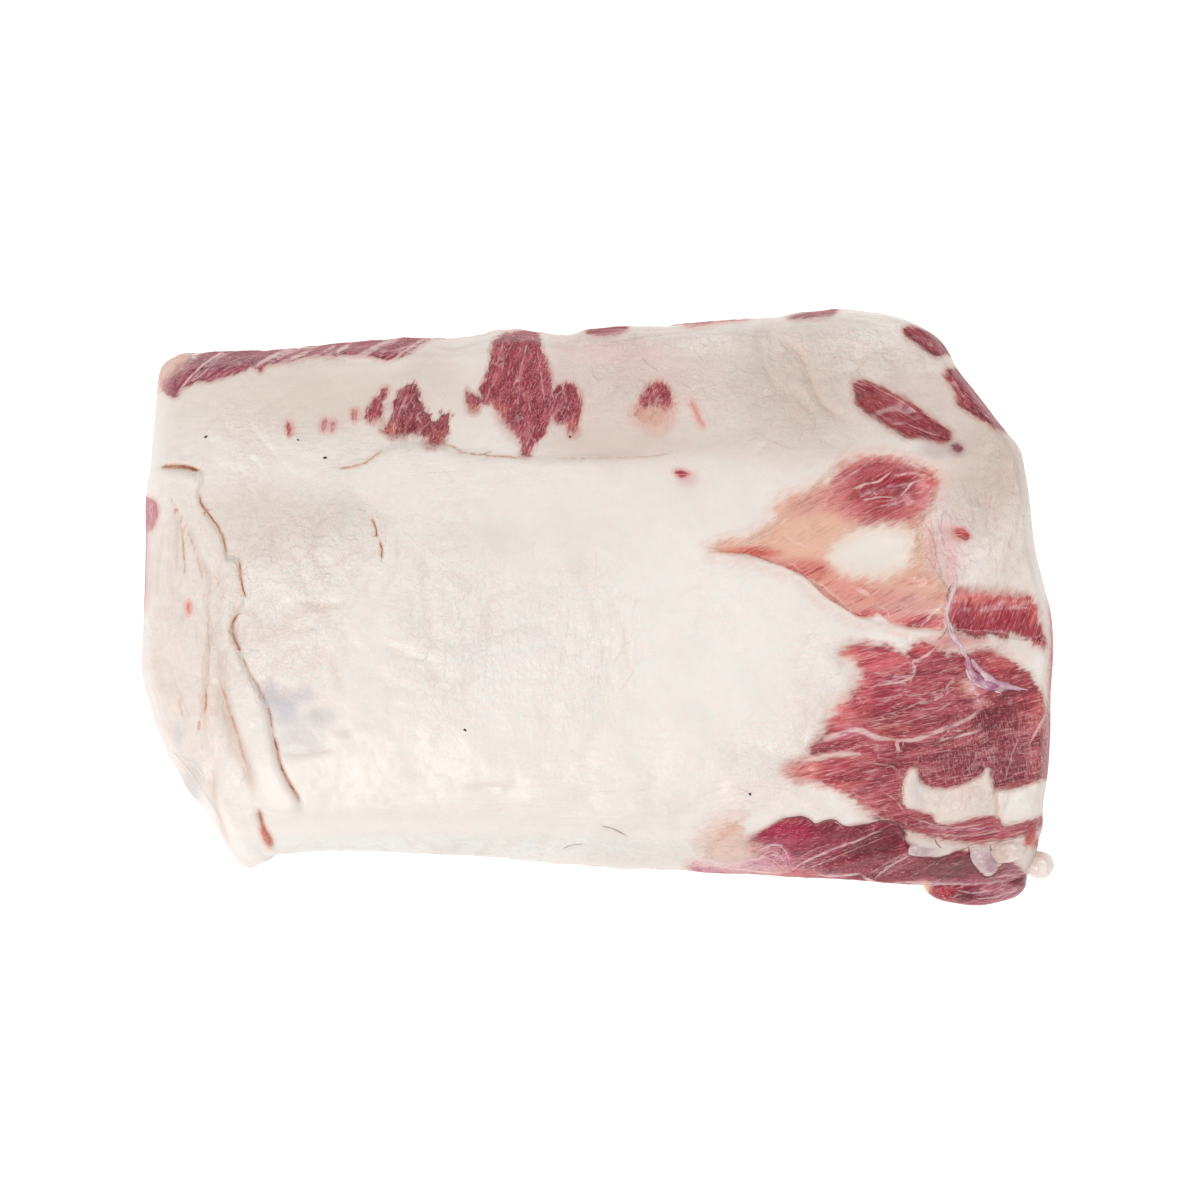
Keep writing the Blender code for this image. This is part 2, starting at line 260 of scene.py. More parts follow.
# Lean that shows.
LEAN = patches(
    # muscle bundles wrapped over the cut edge, upper left
    (((163, 386), (170, 378), (180, 369), (192, 360), (206, 353), (222, 350), (246, 350), (268, 350),
        (262, 360), (248, 368), (232, 374), (214, 380), (196, 382), (183, 389), (176, 396), (168, 395)),
        (150, 84, 98), 2.6, 1.0, 34),
    (((258, 372), (266, 366), (278, 363), (292, 362), (304, 358), (318, 356), (332, 357), (346, 355),
        (358, 355), (372, 356), (386, 360), (399, 357), (410, 352), (420, 345), (430, 337), (400, 330),
        (340, 334), (270, 340), (250, 348)), (160, 88, 98), 2.6, 1.0, 27),
    (((156, 376), (158, 363), (168, 357), (182, 354), (190, 358), (180, 368), (170, 377), (164, 390)),
        (226, 186, 168), 3.0, 3.0, 40),
    # slips of red along the rib side
    (((586, 333), (592, 327), (604, 323), (618, 323), (628, 328), (617, 334), (600, 336)),
        (160, 58, 70), 1.6, 1.0, 6),
    (((684, 324), (700, 320), (722, 316), (750, 313), (746, 319), (720, 322), (694, 326)),
        (198, 140, 136), 2.0, 1.6, 8),
    (((788, 318), (805, 313), (836, 306), (833, 314), (808, 318)), (160, 92, 94), 2.0, 1.2, 8),
    # patches on the thin cover of the ribs
    (((386, 387), (384, 400), (381, 415), (373, 420), (365, 416), (372, 403)), (170, 94, 98), 4.0, 1.2, 66),
    (((353, 411), (357, 410), (356, 419), (353, 420)), (200, 138, 136), 2.4, 1.6, 80),
    (((412, 383), (418, 391), (420, 401), (426, 412), (436, 422), (445, 411), (449, 418), (447, 436),
        (440, 444), (430, 445), (424, 435), (414, 433), (401, 436), (389, 436), (383, 431), (387, 424),
        (395, 420), (393, 405), (399, 395)), (150, 74, 84), 5.0, 1.2, 66),
    (((287, 425), (290, 424), (291, 433), (288, 435)), (196, 116, 120), 2.4, 1.4, 84),
    (((323, 422), (326, 421), (325, 430), (323, 429)), (204, 146, 146), 2.4, 1.6, 74),
    (((331, 424), (334, 422), (333, 430), (331, 430)), (194, 128, 130), 2.4, 1.4, 70),
    (((493, 344), (500, 336), (516, 332), (536, 331), (541, 348), (546, 360), (550, 373), (552, 390),
        (553, 406), (549, 423), (543, 436), (532, 448), (528, 457), (522, 455), (521, 442), (511, 429),
        (499, 413), (490, 402), (485, 403), (480, 392), (486, 377), (490, 364)), (166, 82, 92), 3.4, 1.2, 72),
    (((553, 396), (559, 385), (564, 390), (564, 413), (560, 424), (554, 420)), (160, 78, 90), 3.0, 1.2, 72),
    (((566, 384), (574, 385), (581, 400), (579, 417), (576, 431), (570, 433), (566, 419), (565, 396)),
        (160, 80, 92), 3.0, 1.2, 72),
    (((467, 390), (474, 396), (482, 400), (478, 409), (471, 411), (467, 402)), (158, 84, 90), 2.0, 1.4, 72),
    (((652, 384), (663, 383), (670, 391), (672, 403), (668, 409), (655, 408), (642, 409), (639, 402),
        (645, 391)), (168, 84, 90), 3.0, 1.6, 74),
    (((641, 404), (671, 402), (668, 414), (660, 426), (650, 422), (638, 416)), (226, 184, 164), 6.0, 4.0, 74),
    (((691, 402), (695, 406), (701, 419), (703, 427), (698, 421), (693, 410)),
        (222, 170, 158), 1.6, 1.6, -70),
    (((674, 471), (681, 470), (689, 474), (682, 477), (677, 475)), (196, 76, 98), 1.0, 1.0, 0),
    # upper right
    (((904, 329), (913, 327), (926, 330), (938, 338), (950, 348), (948, 353), (938, 356), (930, 353),
        (919, 345), (908, 338)), (146, 60, 74), 2.0, 1.2, -38),
    (((944, 373), (952, 369), (962, 371), (975, 386), (987, 401), (997, 417), (1006, 431), (993, 427),
        (981, 420), (966, 411), (958, 404), (956, 394), (950, 384)), (150, 64, 76), 2.4, 1.4, -48),
    (((854, 384), (860, 381), (868, 382), (883, 388), (899, 396), (918, 408), (934, 420), (950, 431),
        (952, 437), (946, 442), (936, 441), (920, 437), (909, 438), (897, 432), (881, 421), (866, 412),
        (858, 405), (855, 394)), (150, 68, 74), 2.4, 1.6, -33),
    (((951, 446), (957, 444), (962, 449), (957, 453)), (124, 72, 96), 1.6, 1.6, 0),
    # the ring of lean at the shoulder
    (((714, 550), (726, 544), (746, 541), (766, 531), (779, 519), (776, 509), (789, 499), (812, 489),
        (832, 480), (840, 469), (852, 461), (880, 457), (905, 462), (937, 477), (930, 500), (920, 522),
        (922, 545), (925, 565), (935, 580), (948, 590), (948, 618), (945, 628), (937, 630), (925, 628),
        (912, 628), (892, 623), (878, 613), (872, 617), (858, 616), (842, 606), (825, 596), (809, 580),
        (792, 570), (766, 560), (746, 554), (728, 553)), (236, 190, 168), 6.0, 5.0, 28),
    (((948, 596), (958, 590), (991, 594), (1015, 596), (1032, 599), (1040, 625), (1045, 648), (1028, 639),
        (1011, 633), (1004, 638), (991, 633), (981, 638), (965, 633), (955, 629), (949, 618)),
        (168, 76, 84), 4.0, 2.0, 70),
    (((1050, 598), (1060, 610), (1060, 700), (1051, 706), (1049, 690), (1051, 640)),
        (190, 112, 114), 2.0, 1.5),
    (((955, 531), (962, 530), (969, 535), (966, 540), (961, 537)), (190, 60, 64), 2.0, 1.0, 0),
    # the big bare lean and the muscle below the gristle strip
    (((843, 653), (850, 646), (872, 645), (891, 648), (906, 656), (911, 649), (923, 643), (936, 648),
        (949, 654), (971, 653), (987, 651), (1006, 659), (1025, 672), (1038, 688), (1047, 707), (1060, 730),
        (1060, 800), (1052, 818), (1030, 832), (1014, 837), (988, 842), (968, 843), (946, 838), (922, 834),
        (905, 829), (893, 823), (879, 819), (866, 807), (847, 795), (828, 785), (796, 777), (790, 767),
        (812, 759), (810, 749), (821, 739), (828, 726), (840, 707), (856, 691), (863, 675), (856, 660)),
        (170, 88, 94), 5.0, 2.0, 12),
    # dark lean under the lower edge, and its veiled left end
    (((748, 842), (757, 834), (768, 828), (778, 822), (789, 818), (802, 817), (810, 820), (815, 824),
        (824, 822), (834, 820), (841, 825), (849, 827), (858, 825), (870, 823), (882, 821), (893, 822),
        (902, 828), (910, 840), (918, 850), (935, 857), (950, 855), (966, 846), (973, 860), (981, 873),
        (990, 877), (998, 868), (1007, 862), (1016, 864), (1022, 870), (1027, 876), (1014, 900), (969, 900),
        (918, 898), (880, 896), (820, 890), (800, 884), (792, 872), (785, 860), (774, 850), (762, 846)),
        (140, 36, 70), 3.0, 1.4, 25),
    (((690, 866), (738, 866), (756, 852), (774, 844), (796, 850), (830, 858), (850, 872), (830, 890),
        (760, 886), (716, 882)), (202, 154, 160), 5.0, 4.0, 25),
    (((708, 850), (716, 840), (724, 830), (735, 826), (738, 832), (728, 842), (748, 842), (764, 846),
        (758, 856), (736, 860), (716, 858)), (232, 200, 185), 10.0, 8.0, 25),
    (((722, 834), (726, 829), (734, 828), (736, 831), (729, 834)), (226, 170, 142), 2.0, 2.4, 25),
    (((1034, 843), (1037, 838), (1040, 846), (1039, 858), (1036, 863), (1034, 855)),
        (206, 122, 116), 1.0, 1.2, 80),
    (((924, 886), (1026, 880), (1040, 900), (1000, 925), (950, 925), (915, 900)),
        (160, 74, 92), 4.0, 3.0, 25),
    (((1025, 838), (1029, 829), (1036, 827), (1034, 842), (1027, 844)), (214, 72, 66), 1.6, 1.6, 70),
    # small marks on the fold
    (((138, 498), (151, 499), (157, 506), (157, 516), (153, 528), (147, 530), (138, 520)),
        (184, 118, 126), 1.0, 1.0, 80),
    (((136, 520), (146, 528), (146, 560), (144, 606), (136, 606)), (196, 158, 170), 1.0, 1.6, 88),
    (((188, 602), (190, 605), (190, 611), (189, 614), (187, 608)), (226, 128, 116), 1.6, 1.2, 80),
    (((261, 827), (266, 831), (272, 840), (270, 847), (265, 842), (262, 834)),
        (214, 128, 100), 1.0, 1.2, -60),
)
# Plain fat, the warm painted shade in the valley of each fold, and how strong that is for each metre of depth
# and in the wrinkles.
FAT, VALLEY_SHADE, VALLEY_SHADE_PER_METRE, WRINKLE_SHADE = (241, 232, 225), (214, 188, 172), 360, 0.26
# Lean and fat that the camera doesn't see: where they are sawn, and where membrane covers them.
HIDDEN_LEAN, HIDDEN_FAT = ((182, 104, 104), (186, 132, 128)), ((233, 217, 206), (218, 196, 190))
# How much purer red lean is under its pale streaks.
UNDER_STREAKS = (1.08, 0.68, 0.84)
# Pale places inside the lean: the island of fat in the ring, the gristle strip and that round the tips.
PALE = patches(
    (((858, 526), (878, 522), (912, 526), (918, 545), (908, 571), (880, 581), (848, 577), (828, 565),
        (826, 549), (840, 535)), (241, 231, 221), 6.0, 5.0, 15),
    (((909, 769), (917, 767), (920, 778), (928, 785), (937, 788), (951, 787), (969, 781), (980, 776),
        (988, 766), (993, 778), (995, 788), (1000, 789), (1020, 787), (1048, 779), (1052, 806), (1040, 817),
        (1027, 821), (1005, 826), (999, 819), (987, 816), (972, 819), (956, 823), (937, 824), (931, 815),
        (913, 810), (904, 805), (902, 791), (904, 778)), (237, 222, 212), 2.4, 1.0, 5),
    (((904, 838), (914, 834), (940, 838), (968, 842), (990, 843), (1004, 841), (1020, 843), (1036, 847),
        (1041, 854), (1038, 872), (1029, 877), (1022, 870), (1016, 862), (1004, 861), (997, 868), (988, 874),
        (978, 868), (970, 852), (950, 852), (930, 855), (914, 847)), (228, 212, 204), 2.0, 1.6, 0),
    (((796, 762), (806, 757), (828, 753), (850, 752), (862, 755), (848, 757), (828, 759), (808, 763)),
        (236, 216, 206), 2.4, 1.6, 6),
)
# Where the edge of the lean fades softly: middle, radii and softness in pixels.
SOFT_EDGES = (
    ((836, 690), (60, 80), 4.5), ((798, 770), (34, 22), 6), ((866, 652), (36, 18), 4),
    ((990, 650), (60, 14), 3), ((655, 424), (30, 22), 7), ((500, 432), (24, 26), 4),
    ((400, 434), (24, 12), 4), ((985, 592), (56, 14), 5), ((430, 446), (24, 12), 4),
    ((930, 560), (30, 60), 7), ((740, 856), (40, 30), 6), ((474, 412), (10, 8), 4), ((574, 434), (12, 10), 4),
    ((376, 422), (12, 8), 4), ((870, 815), (40, 16), 5),
)
# Soft changes of the lean's colour: middle, radii, colour and strength.
LEAN_TONES = (
    ((884, 489), (54, 40), (160, 46, 64), 1.0), ((896, 604), (60, 20), (224, 174, 160), 1.0),
    ((925, 622), (34, 8), (196, 92, 96), 0.7), ((868, 614), (26, 5), (206, 112, 106), 0.7),
    ((845, 592), (44, 20), (225, 168, 150), 1.0), ((802, 570), (36, 13), (212, 146, 124), 1.0),
    ((750, 554), (34, 8), (206, 128, 96), 1.0), ((830, 500), (22, 14), (212, 150, 134), 0.8),
    ((806, 506), (24, 14), (222, 174, 158), 0.9), ((932, 505), (12, 26), (216, 150, 148), 0.6),
    ((890, 696), (32, 24), (162, 54, 76), 0.95), ((862, 696), (14, 30), (208, 116, 116), 0.8),
    ((878, 662), (36, 15), (212, 128, 126), 0.85), ((852, 752), (30, 20), (180, 84, 92), 0.6),
    ((830, 776), (30, 16), (190, 92, 96), 0.7), ((806, 770), (20, 14), (224, 154, 138), 1.0),
    ((925, 694), (34, 24), (166, 70, 84), 0.8), ((890, 724), (30, 12), (178, 98, 94), 0.8),
    ((926, 716), (34, 18), (162, 78, 88), 0.7), ((998, 720), (30, 26), (138, 40, 66), 0.95),
    ((1010, 762), (36, 28), (134, 60, 76), 0.85), ((956, 764), (40, 18), (142, 68, 80), 0.9),
    ((900, 762), (36, 12), (150, 64, 78), 0.7), ((968, 686), (12, 14), (226, 186, 166), 0.85),
    ((980, 700), (10, 10), (220, 176, 158), 0.7), ((920, 650), (14, 7), (196, 84, 88), 0.8),
    ((930, 652), (8, 6), (212, 140, 134), 0.6), ((990, 668), (28, 10), (186, 78, 84), 0.6),
    ((1032, 704), (14, 28), (182, 84, 88), 0.7), ((1042, 706), (8, 30), (212, 146, 126), 0.7),
    ((846, 790), (26, 8), (216, 152, 134), 0.6), ((896, 732), (24, 6), (192, 118, 100), 0.5),
    ((1036, 762), (12, 30), (178, 108, 108), 0.7), ((850, 656), (13, 11), (216, 146, 124), 0.8),
    ((842, 712), (15, 24), (222, 140, 132), 0.8), ((872, 800), (26, 13), (192, 120, 114), 0.7),
    ((940, 830), (46, 11), (174, 110, 114), 0.7), ((1010, 832), (32, 8), (166, 100, 104), 0.6),
    ((1006, 662), (24, 8), (206, 128, 116), 0.6), ((526, 442), (9, 18), (188, 124, 126), 0.7),
    ((498, 410), (12, 12), (196, 136, 114), 0.7), ((475, 407), (6, 4), (216, 154, 130), 0.9),
    ((571, 426), (8, 7), (190, 116, 108), 0.8), ((376, 416), (8, 6), (184, 112, 106), 0.7),
    ((392, 430), (12, 8), (196, 134, 112), 0.8), ((438, 436), (10, 9), (186, 118, 104), 0.7),
    ((928, 480), (14, 10), (200, 112, 102), 0.7), ((786, 832), (34, 15), (170, 32, 86), 1.0),
    ((836, 830), (30, 10), (132, 26, 70), 0.9), ((874, 848), (26, 12), (116, 14, 60), 1.0),
    ((840, 866), (30, 8), (140, 40, 62), 0.9), ((868, 834), (18, 6), (132, 52, 72), 0.8),
    ((1012, 869), (10, 6), (158, 104, 120), 1.0), ((1000, 878), (24, 5), (160, 100, 114), 0.9),
    ((772, 872), (30, 5), (224, 170, 158), 0.9), ((892, 834), (18, 8), (118, 50, 64), 0.8),
    ((946, 868), (36, 12), (116, 26, 56), 1.0), ((960, 882), (60, 4), (190, 140, 152), 0.6),
    ((744, 866), (46, 9), (214, 174, 177), 0.9), ((780, 861), (16, 8), (200, 138, 152), 0.8),
    ((760, 850), (16, 5), (214, 140, 140), 0.6), ((800, 874), (20, 6), (204, 138, 130), 0.8),
    ((924, 890), (10, 10), (246, 204, 164), 1.0), ((946, 896), (18, 11), (184, 66, 80), 1.0),
    ((968, 896), (20, 8), (124, 54, 68), 1.0), ((1002, 892), (26, 9), (190, 144, 154), 0.9),
    ((985, 904), (26, 5), (170, 84, 96), 0.7), ((912, 862), (20, 10), (156, 74, 80), 0.6),
    ((972, 597), (34, 7), (216, 138, 118), 0.8), ((1020, 602), (26, 6), (214, 140, 120), 0.7),
    ((985, 624), (34, 13), (156, 52, 70), 0.8), ((1035, 612), (9, 14), (204, 122, 110), 0.6),
    ((884, 402), (26, 12), (156, 82, 82), 0.6), ((936, 432), (15, 8), (148, 84, 90), 0.6),
    ((915, 580), (24, 8), (222, 164, 142), 0.6),
)
# Soft changes of the fat's colour. The darker greyish tones over the rib side and towards the shoulder end
# are partly painted shade, where the fat slopes away from the front light.
FAT_TONES_AND_SHADE = (
    ((620, 440), (100, 28), (222, 202, 190), 0.85), ((985, 470), (56, 60), (212, 192, 179), 0.95),
    ((790, 440), (100, 30), (222, 204, 192), 0.5), ((955, 643), (40, 9), (224, 160, 156), 0.9),
    ((330, 395), (200, 48), (231, 217, 204), 0.9), ((640, 385), (150, 55), (229, 211, 201), 0.9),
    ((800, 390), (90, 75), (220, 204, 192), 0.9), ((930, 390), (70, 60), (222, 204, 193), 0.7),
    ((985, 470), (40, 60), (218, 200, 188), 0.6), ((1010, 560), (35, 60), (232, 217, 206), 0.6),
    ((610, 350), (60, 14), (232, 200, 194), 0.6), ((660, 372), (50, 20), (232, 204, 198), 0.4),
    ((430, 372), (40, 30), (226, 212, 204), 0.5), ((190, 640), (55, 170), (236, 223, 214), 0.8),
    ((270, 694), (10, 16), (200, 196, 204), 0.7), ((284, 708), (16, 18), (200, 196, 204), 0.7),
    ((302, 696), (16, 10), (208, 203, 206), 0.7), ((322, 716), (18, 10), (212, 206, 206), 0.7),
    ((300, 726), (26, 14), (214, 209, 209), 0.6), ((344, 734), (12, 6), (218, 210, 206), 0.6),
    ((300, 745), (34, 14), (218, 212, 210), 0.6), ((330, 520), (60, 32), (224, 213, 204), 0.7),
    ((260, 520), (60, 46), (224, 210, 200), 0.8), ((470, 540), (60, 22), (232, 222, 213), 0.5),
    ((680, 640), (150, 120), (245, 238, 232), 0.9), ((480, 660), (130, 90), (242, 235, 230), 0.7),
    ((560, 800), (240, 50), (241, 232, 226), 0.5), ((430, 845), (190, 14), (224, 219, 212), 0.7),
    ((640, 855), (70, 16), (224, 216, 208), 0.6), ((760, 790), (70, 24), (243, 229, 222), 0.6),
    ((800, 700), (30, 60), (243, 230, 222), 0.5), ((178, 735), (6, 14), (214, 210, 214), 0.7),
    ((192, 786), (12, 26), (206, 200, 196), 0.75), ((948, 545), (26, 40), (235, 198, 197), 0.75),
    ((931, 556), (7, 28), (226, 166, 172), 0.55), ((952, 574), (6, 26), (230, 174, 178), 0.5),
    ((955, 640), (14, 9), (212, 146, 148), 0.75), ((960, 534), (9, 8), (226, 140, 142), 0.6),
    ((688, 478), (13, 10), (232, 178, 184), 0.8), ((700, 470), (60, 22), (231, 220, 210), 0.4),
    ((990, 648), (40, 8), (238, 222, 212), 0.7), ((1020, 655), (18, 10), (238, 222, 212), 0.6),
    ((289, 425), (10, 12), (228, 196, 190), 0.4), ((328, 424), (16, 10), (226, 196, 192), 0.5),
    ((400, 412), (34, 26), (226, 200, 196), 0.5), ((560, 400), (30, 34), (224, 198, 194), 0.5),
    ((940, 450), (26, 12), (204, 186, 186), 0.7), ((905, 405), (60, 30), (222, 202, 194), 0.6),
    ((1030, 860), (16, 14), (232, 218, 210), 0.8), ((1020, 803), (26, 22), (246, 240, 233), 0.9),
    ((420, 846), (260, 12), (238, 236, 230), 0.8), ((210, 705), (10, 30), (232, 208, 194), 0.5),
    ((722, 840), (30, 16), (234, 208, 200), 0.5), ((150, 560), (8, 60), (228, 210, 208), 0.6),
    ((966, 794), (10, 16), (234, 208, 198), 0.7), ((918, 790), (10, 20), (222, 212, 214), 0.7),
    ((997, 800), (4, 18), (232, 200, 188), 0.6),
)
# Where the surface is less glossy: middle, radii and how much less.
DULL = (((850, 852), (150, 36), 0.80), ((975, 893), (66, 22), 0.85), ((800, 700), (120, 110), 0.2))
# Where the fibres show less: middle, radii and how much less.
QUIET = (
    ((902, 410), (64, 40), 0.9), ((884, 660), (60, 30), 0.4), ((800, 560), (120, 60), 0.4),
    ((886, 489), (70, 46), 0.85), ((996, 618), (70, 36), 0.6), ((880, 606), (70, 24), 0.5),
    ((796, 836), (60, 24), 0.7),
)
# Where fibres cross the grain: middle, radii and strength.
CROSSED = (((995, 750), (64, 52), 1.0), ((930, 775), (50, 24), 0.5))
# Fine creases of the fat: middle, radii, and the strengths of upright streaks, level streaks and crinkles.
CREASES = (
    ((290, 620), (70, 100), (0.1, 0.3, 0.75)), ((180, 640), (50, 180), (1.0, 0.0, 0.5)),
    ((440, 620), (70, 120), (0.6, 0, 0.75)), ((560, 640), (90, 100), (0.8, 0.0, 0.5)),
    ((650, 370), (120, 60), (0.3, 0.3, 0.6)), ((800, 390), (90, 80), (0.5, 0.1, 0.5)),
    ((945, 545), (40, 64), (0.7, 0.2, 1.0)), ((330, 440), (100, 40), (0.0, 0.4, 0.3)),
    ((600, 800), (240, 60), (0.0, 0.6, 0.12)), ((820, 700), (40, 100), (0.0, 0.6, 0.5)),
    ((1005, 500), (36, 120), (0.9, 0.0, 0.75)), ((480, 470), (150, 30), (0.0, 0.5, 0.15)),
    ((500, 852), (360, 16), (0.0, 1.0, 0.6)), ((300, 354), (170, 16), (0.0, 0.8, 0.6)),
    ((640, 338), (220, 14), (0.0, 0.9, 0.6)), ((900, 350), (100, 40), (0.5, 0.6, 0.6)),
    ((330, 540), (70, 60), (0.2, 0.2, 0.8)), ((720, 590), (60, 60), (0.1, 0.3, 0.2)),
    ((770, 760), (60, 50), (0.0, 0.8, 0.4)), ((240, 430), (80, 60), (0.1, 0.2, 0.15)),
    ((960, 646), (80, 16), (0.1, 0.8, 0.5)), ((975, 797), (84, 24), (0.35, 0.35, 0.7)),
    ((240, 600), (40, 240), (0.5, 0.1, 0.4)),
)
# A drawn line: its points and half width in pixels, and its strength.
Line = namedtuple("Line", "points width strength", defaults=(1.0,))


def lines(*rows):
    return tuple(Line(*row) for row in rows)


# Tears and creases of the fat, drawn as darker lines: the raw colour of a tear, and painted shade along a
# crease and in the gap under the fold's edge.
CRACKS_AND_SHADED_CREASES = lines(
    (((159, 468), (172, 466), (184, 467), (194, 469), (202, 473)), 1.5),
    (((199, 492), (201, 503), (208, 513), (217, 525), (223, 537), (226, 550), (227, 558)), 0.62),
    (((239, 559), (240, 569), (242, 584), (246, 599)), 0.6),
    (((241, 613), (236, 617), (232, 627), (235, 640), (239, 648), (243, 657)), 0.85),
    (((239, 649), (243, 658), (249, 672), (258, 686), (263, 697), (268, 708)), 0.5, 0.75),
    (((264, 699), (269, 711), (272, 725), (275, 741)), 0.55, 0.8),
    (((272, 730), (277, 748), (280, 763), (286, 777), (293, 789), (298, 797), (300, 806)), 0.95),
    (((258, 806), (261, 818), (264, 828), (269, 839), (272, 850)), 1.1),
    (((368, 513), (374, 523), (378, 538), (382, 549), (381, 563)), 0.6),
    (((356, 509), (364, 511), (370, 518)), 0.4, 0.6), (((170, 495), (174, 506), (177, 520)), 0.5, 0.7),
    (((182, 511), (188, 524), (194, 536)), 0.4, 0.5), (((205, 688), (206, 700), (205, 714)), 0.7, 0.8),
    (((199, 719), (199, 732)), 0.7, 0.8), (((177, 696), (180, 706), (184, 718)), 0.5, 0.7),
    (((205, 600), (209, 612), (208, 630)), 0.4, 0.5),
    (((335, 469), (350, 467), (365, 463), (376, 455), (386, 448)), 0.5, 0.85),
    (((436, 444), (452, 446), (462, 452), (484, 455), (510, 457), (528, 459)), 0.5, 0.85),
    (((520, 454), (532, 456), (546, 460)), 0.5, 0.7), (((285, 435), (297, 433), (310, 434)), 0.4, 0.5),
    (((318, 519), (322, 528), (328, 534)), 0.35, 0.5), (((334, 524), (340, 533), (343, 544)), 0.35, 0.5),
    (((350, 389), (353, 398), (351, 408)), 0.45, 0.5), (((293, 601), (325, 607), (352, 601)), 0.4, 0.4),
    (((280, 751), (296, 755), (325, 751), (337, 745)), 0.4, 0.4),
    (((700, 546), (716, 549), (730, 551), (746, 554)), 0.6, 0.6),
    (((540, 459), (592, 458), (640, 457), (668, 454), (690, 449)), 0.4, 0.65),
    (((716, 862), (738, 860), (754, 855), (766, 849)), 0.5, 0.6),
    (((748, 863), (762, 856), (775, 853), (784, 860)), 0.5, 0.6),
    (((756, 867), (770, 861), (780, 864), (788, 870)), 0.5, 0.6),
    (((700, 858), (724, 858), (744, 850)), 0.5, 0.5),
    # on the fold
    (((172, 498), (180, 518), (184, 554), (186, 586)), 0.5, 0.75),
    (((181, 512), (196, 554), (206, 590)), 0.4, 0.72), (((212, 572), (220, 588), (218, 612)), 0.4, 0.72),
    (((218, 676), (226, 700), (234, 724), (241, 748), (248, 772)), 0.6, 0.75),
    (((172, 676), (184, 704), (192, 722)), 0.4, 0.6), (((206, 624), (210, 652), (206, 680)), 0.4, 0.55),
    # upper right
    (((776, 338), (793, 349), (804, 364), (810, 379), (815, 394), (825, 407), (836, 415)), 0.8, 0.52),
    (((802, 332), (804, 349), (819, 353)), 0.4, 0.56),
    (((740, 449), (753, 439), (772, 441), (786, 448), (802, 447)), 0.4, 0.6),
    (((746, 419), (753, 404), (770, 396), (791, 396), (806, 407), (815, 419), (812, 434),
        (800, 447)), 0.4, 0.54),
    (((859, 347), (872, 351), (881, 355), (894, 364)), 0.4, 0.58), (((881, 338), (889, 358)), 0.4, 0.54),
    (((992, 492), (990, 505), (994, 513)), 0.5, 0.62), (((962, 481), (966, 496)), 0.4, 0.58),
    (((996, 516), (995, 526)), 0.8, 0.6), (((637, 352), (648, 364), (661, 372)), 0.4, 0.64),
    (((600, 350), (592, 366), (598, 380), (612, 372)), 0.4, 0.6),
    (((672, 380), (690, 388), (706, 412), (712, 432)), 0.4, 0.6),
    (((545, 420), (555, 436), (560, 452)), 0.4, 0.5), (((470, 352), (478, 368), (474, 386)), 0.4, 0.5),
)
# Veins and dark seams between the muscles, and dark lines of painted shadow: beneath the pale sinew, along
# the fat's edge over the dark lean and round the gristle tips.
VEINS_AND_SHADOW_LINES = lines(
    # painted shadow beneath the pale sinew
    (((982, 703), (988, 714), (991, 726), (988, 744)), 1.8, 0.6),
    (((930, 748), (950, 739), (972, 727), (986, 717)), 1.4, 0.7),
    (((952, 752), (970, 745), (990, 735)), 1.0, 0.6), (((1020, 690), (1026, 706), (1022, 724)), 1.2, 0.5),
    (((906, 650), (912, 656), (922, 658)), 2.0, 0.6), (((996, 755), (1004, 770), (1002, 784)), 1.4, 0.5),
    (((886, 492), (896, 486), (906, 476)), 1.2, 0.5), (((864, 478), (872, 486), (870, 496)), 1.6, 0.4),
    (((601, 826), (610, 828), (618, 831), (627, 836)), 0.8, 0.6),
    (((562, 849), (572, 845), (584, 844)), 0.6, 0.5),
    # painted shadow along the edge where the fat overhangs the dark lean
    (((772, 825), (780, 820), (789, 818), (805, 817), (815, 824), (821, 822), (834, 820), (843, 826),
        (853, 827), (867, 825), (881, 821), (894, 823), (905, 831)), 0.8, 0.9),
    (((938, 348), (946, 352), (952, 358)), 1.0, 0.7), (((956, 404), (975, 413), (1000, 427)), 1.0, 0.7),
    (((937, 641), (944, 634), (948, 626)), 0.8, 0.5),
    (((922, 518), (933, 538), (937, 560), (946, 582)), 0.9, 0.28),
    (((944, 510), (941, 530), (948, 552)), 0.8, 0.25), (((927, 556), (938, 574), (950, 592)), 0.9, 0.28),
    (((936, 524), (944, 544), (958, 560)), 0.7, 0.22),
    # painted shadow round the lower edges of the gristle tips, where they overhang the slab
    (((903, 830), (906, 844), (914, 854), (926, 859), (940, 858), (956, 853), (968, 847)), 1.2, 1.0),
    (((968, 844), (971, 859), (977, 871), (986, 877), (996, 875)), 1.3, 1.0),
    (((990, 844), (992, 854), (998, 862), (1010, 863)), 0.9, 0.8),
    (((934, 838), (938, 845), (943, 850)), 0.8, 0.8),
    (((968, 845), (980, 842), (1000, 841), (1020, 838)), 0.6, 0.5),
    (((1026, 876), (1030, 884), (1024, 893)), 0.8, 0.6),
)
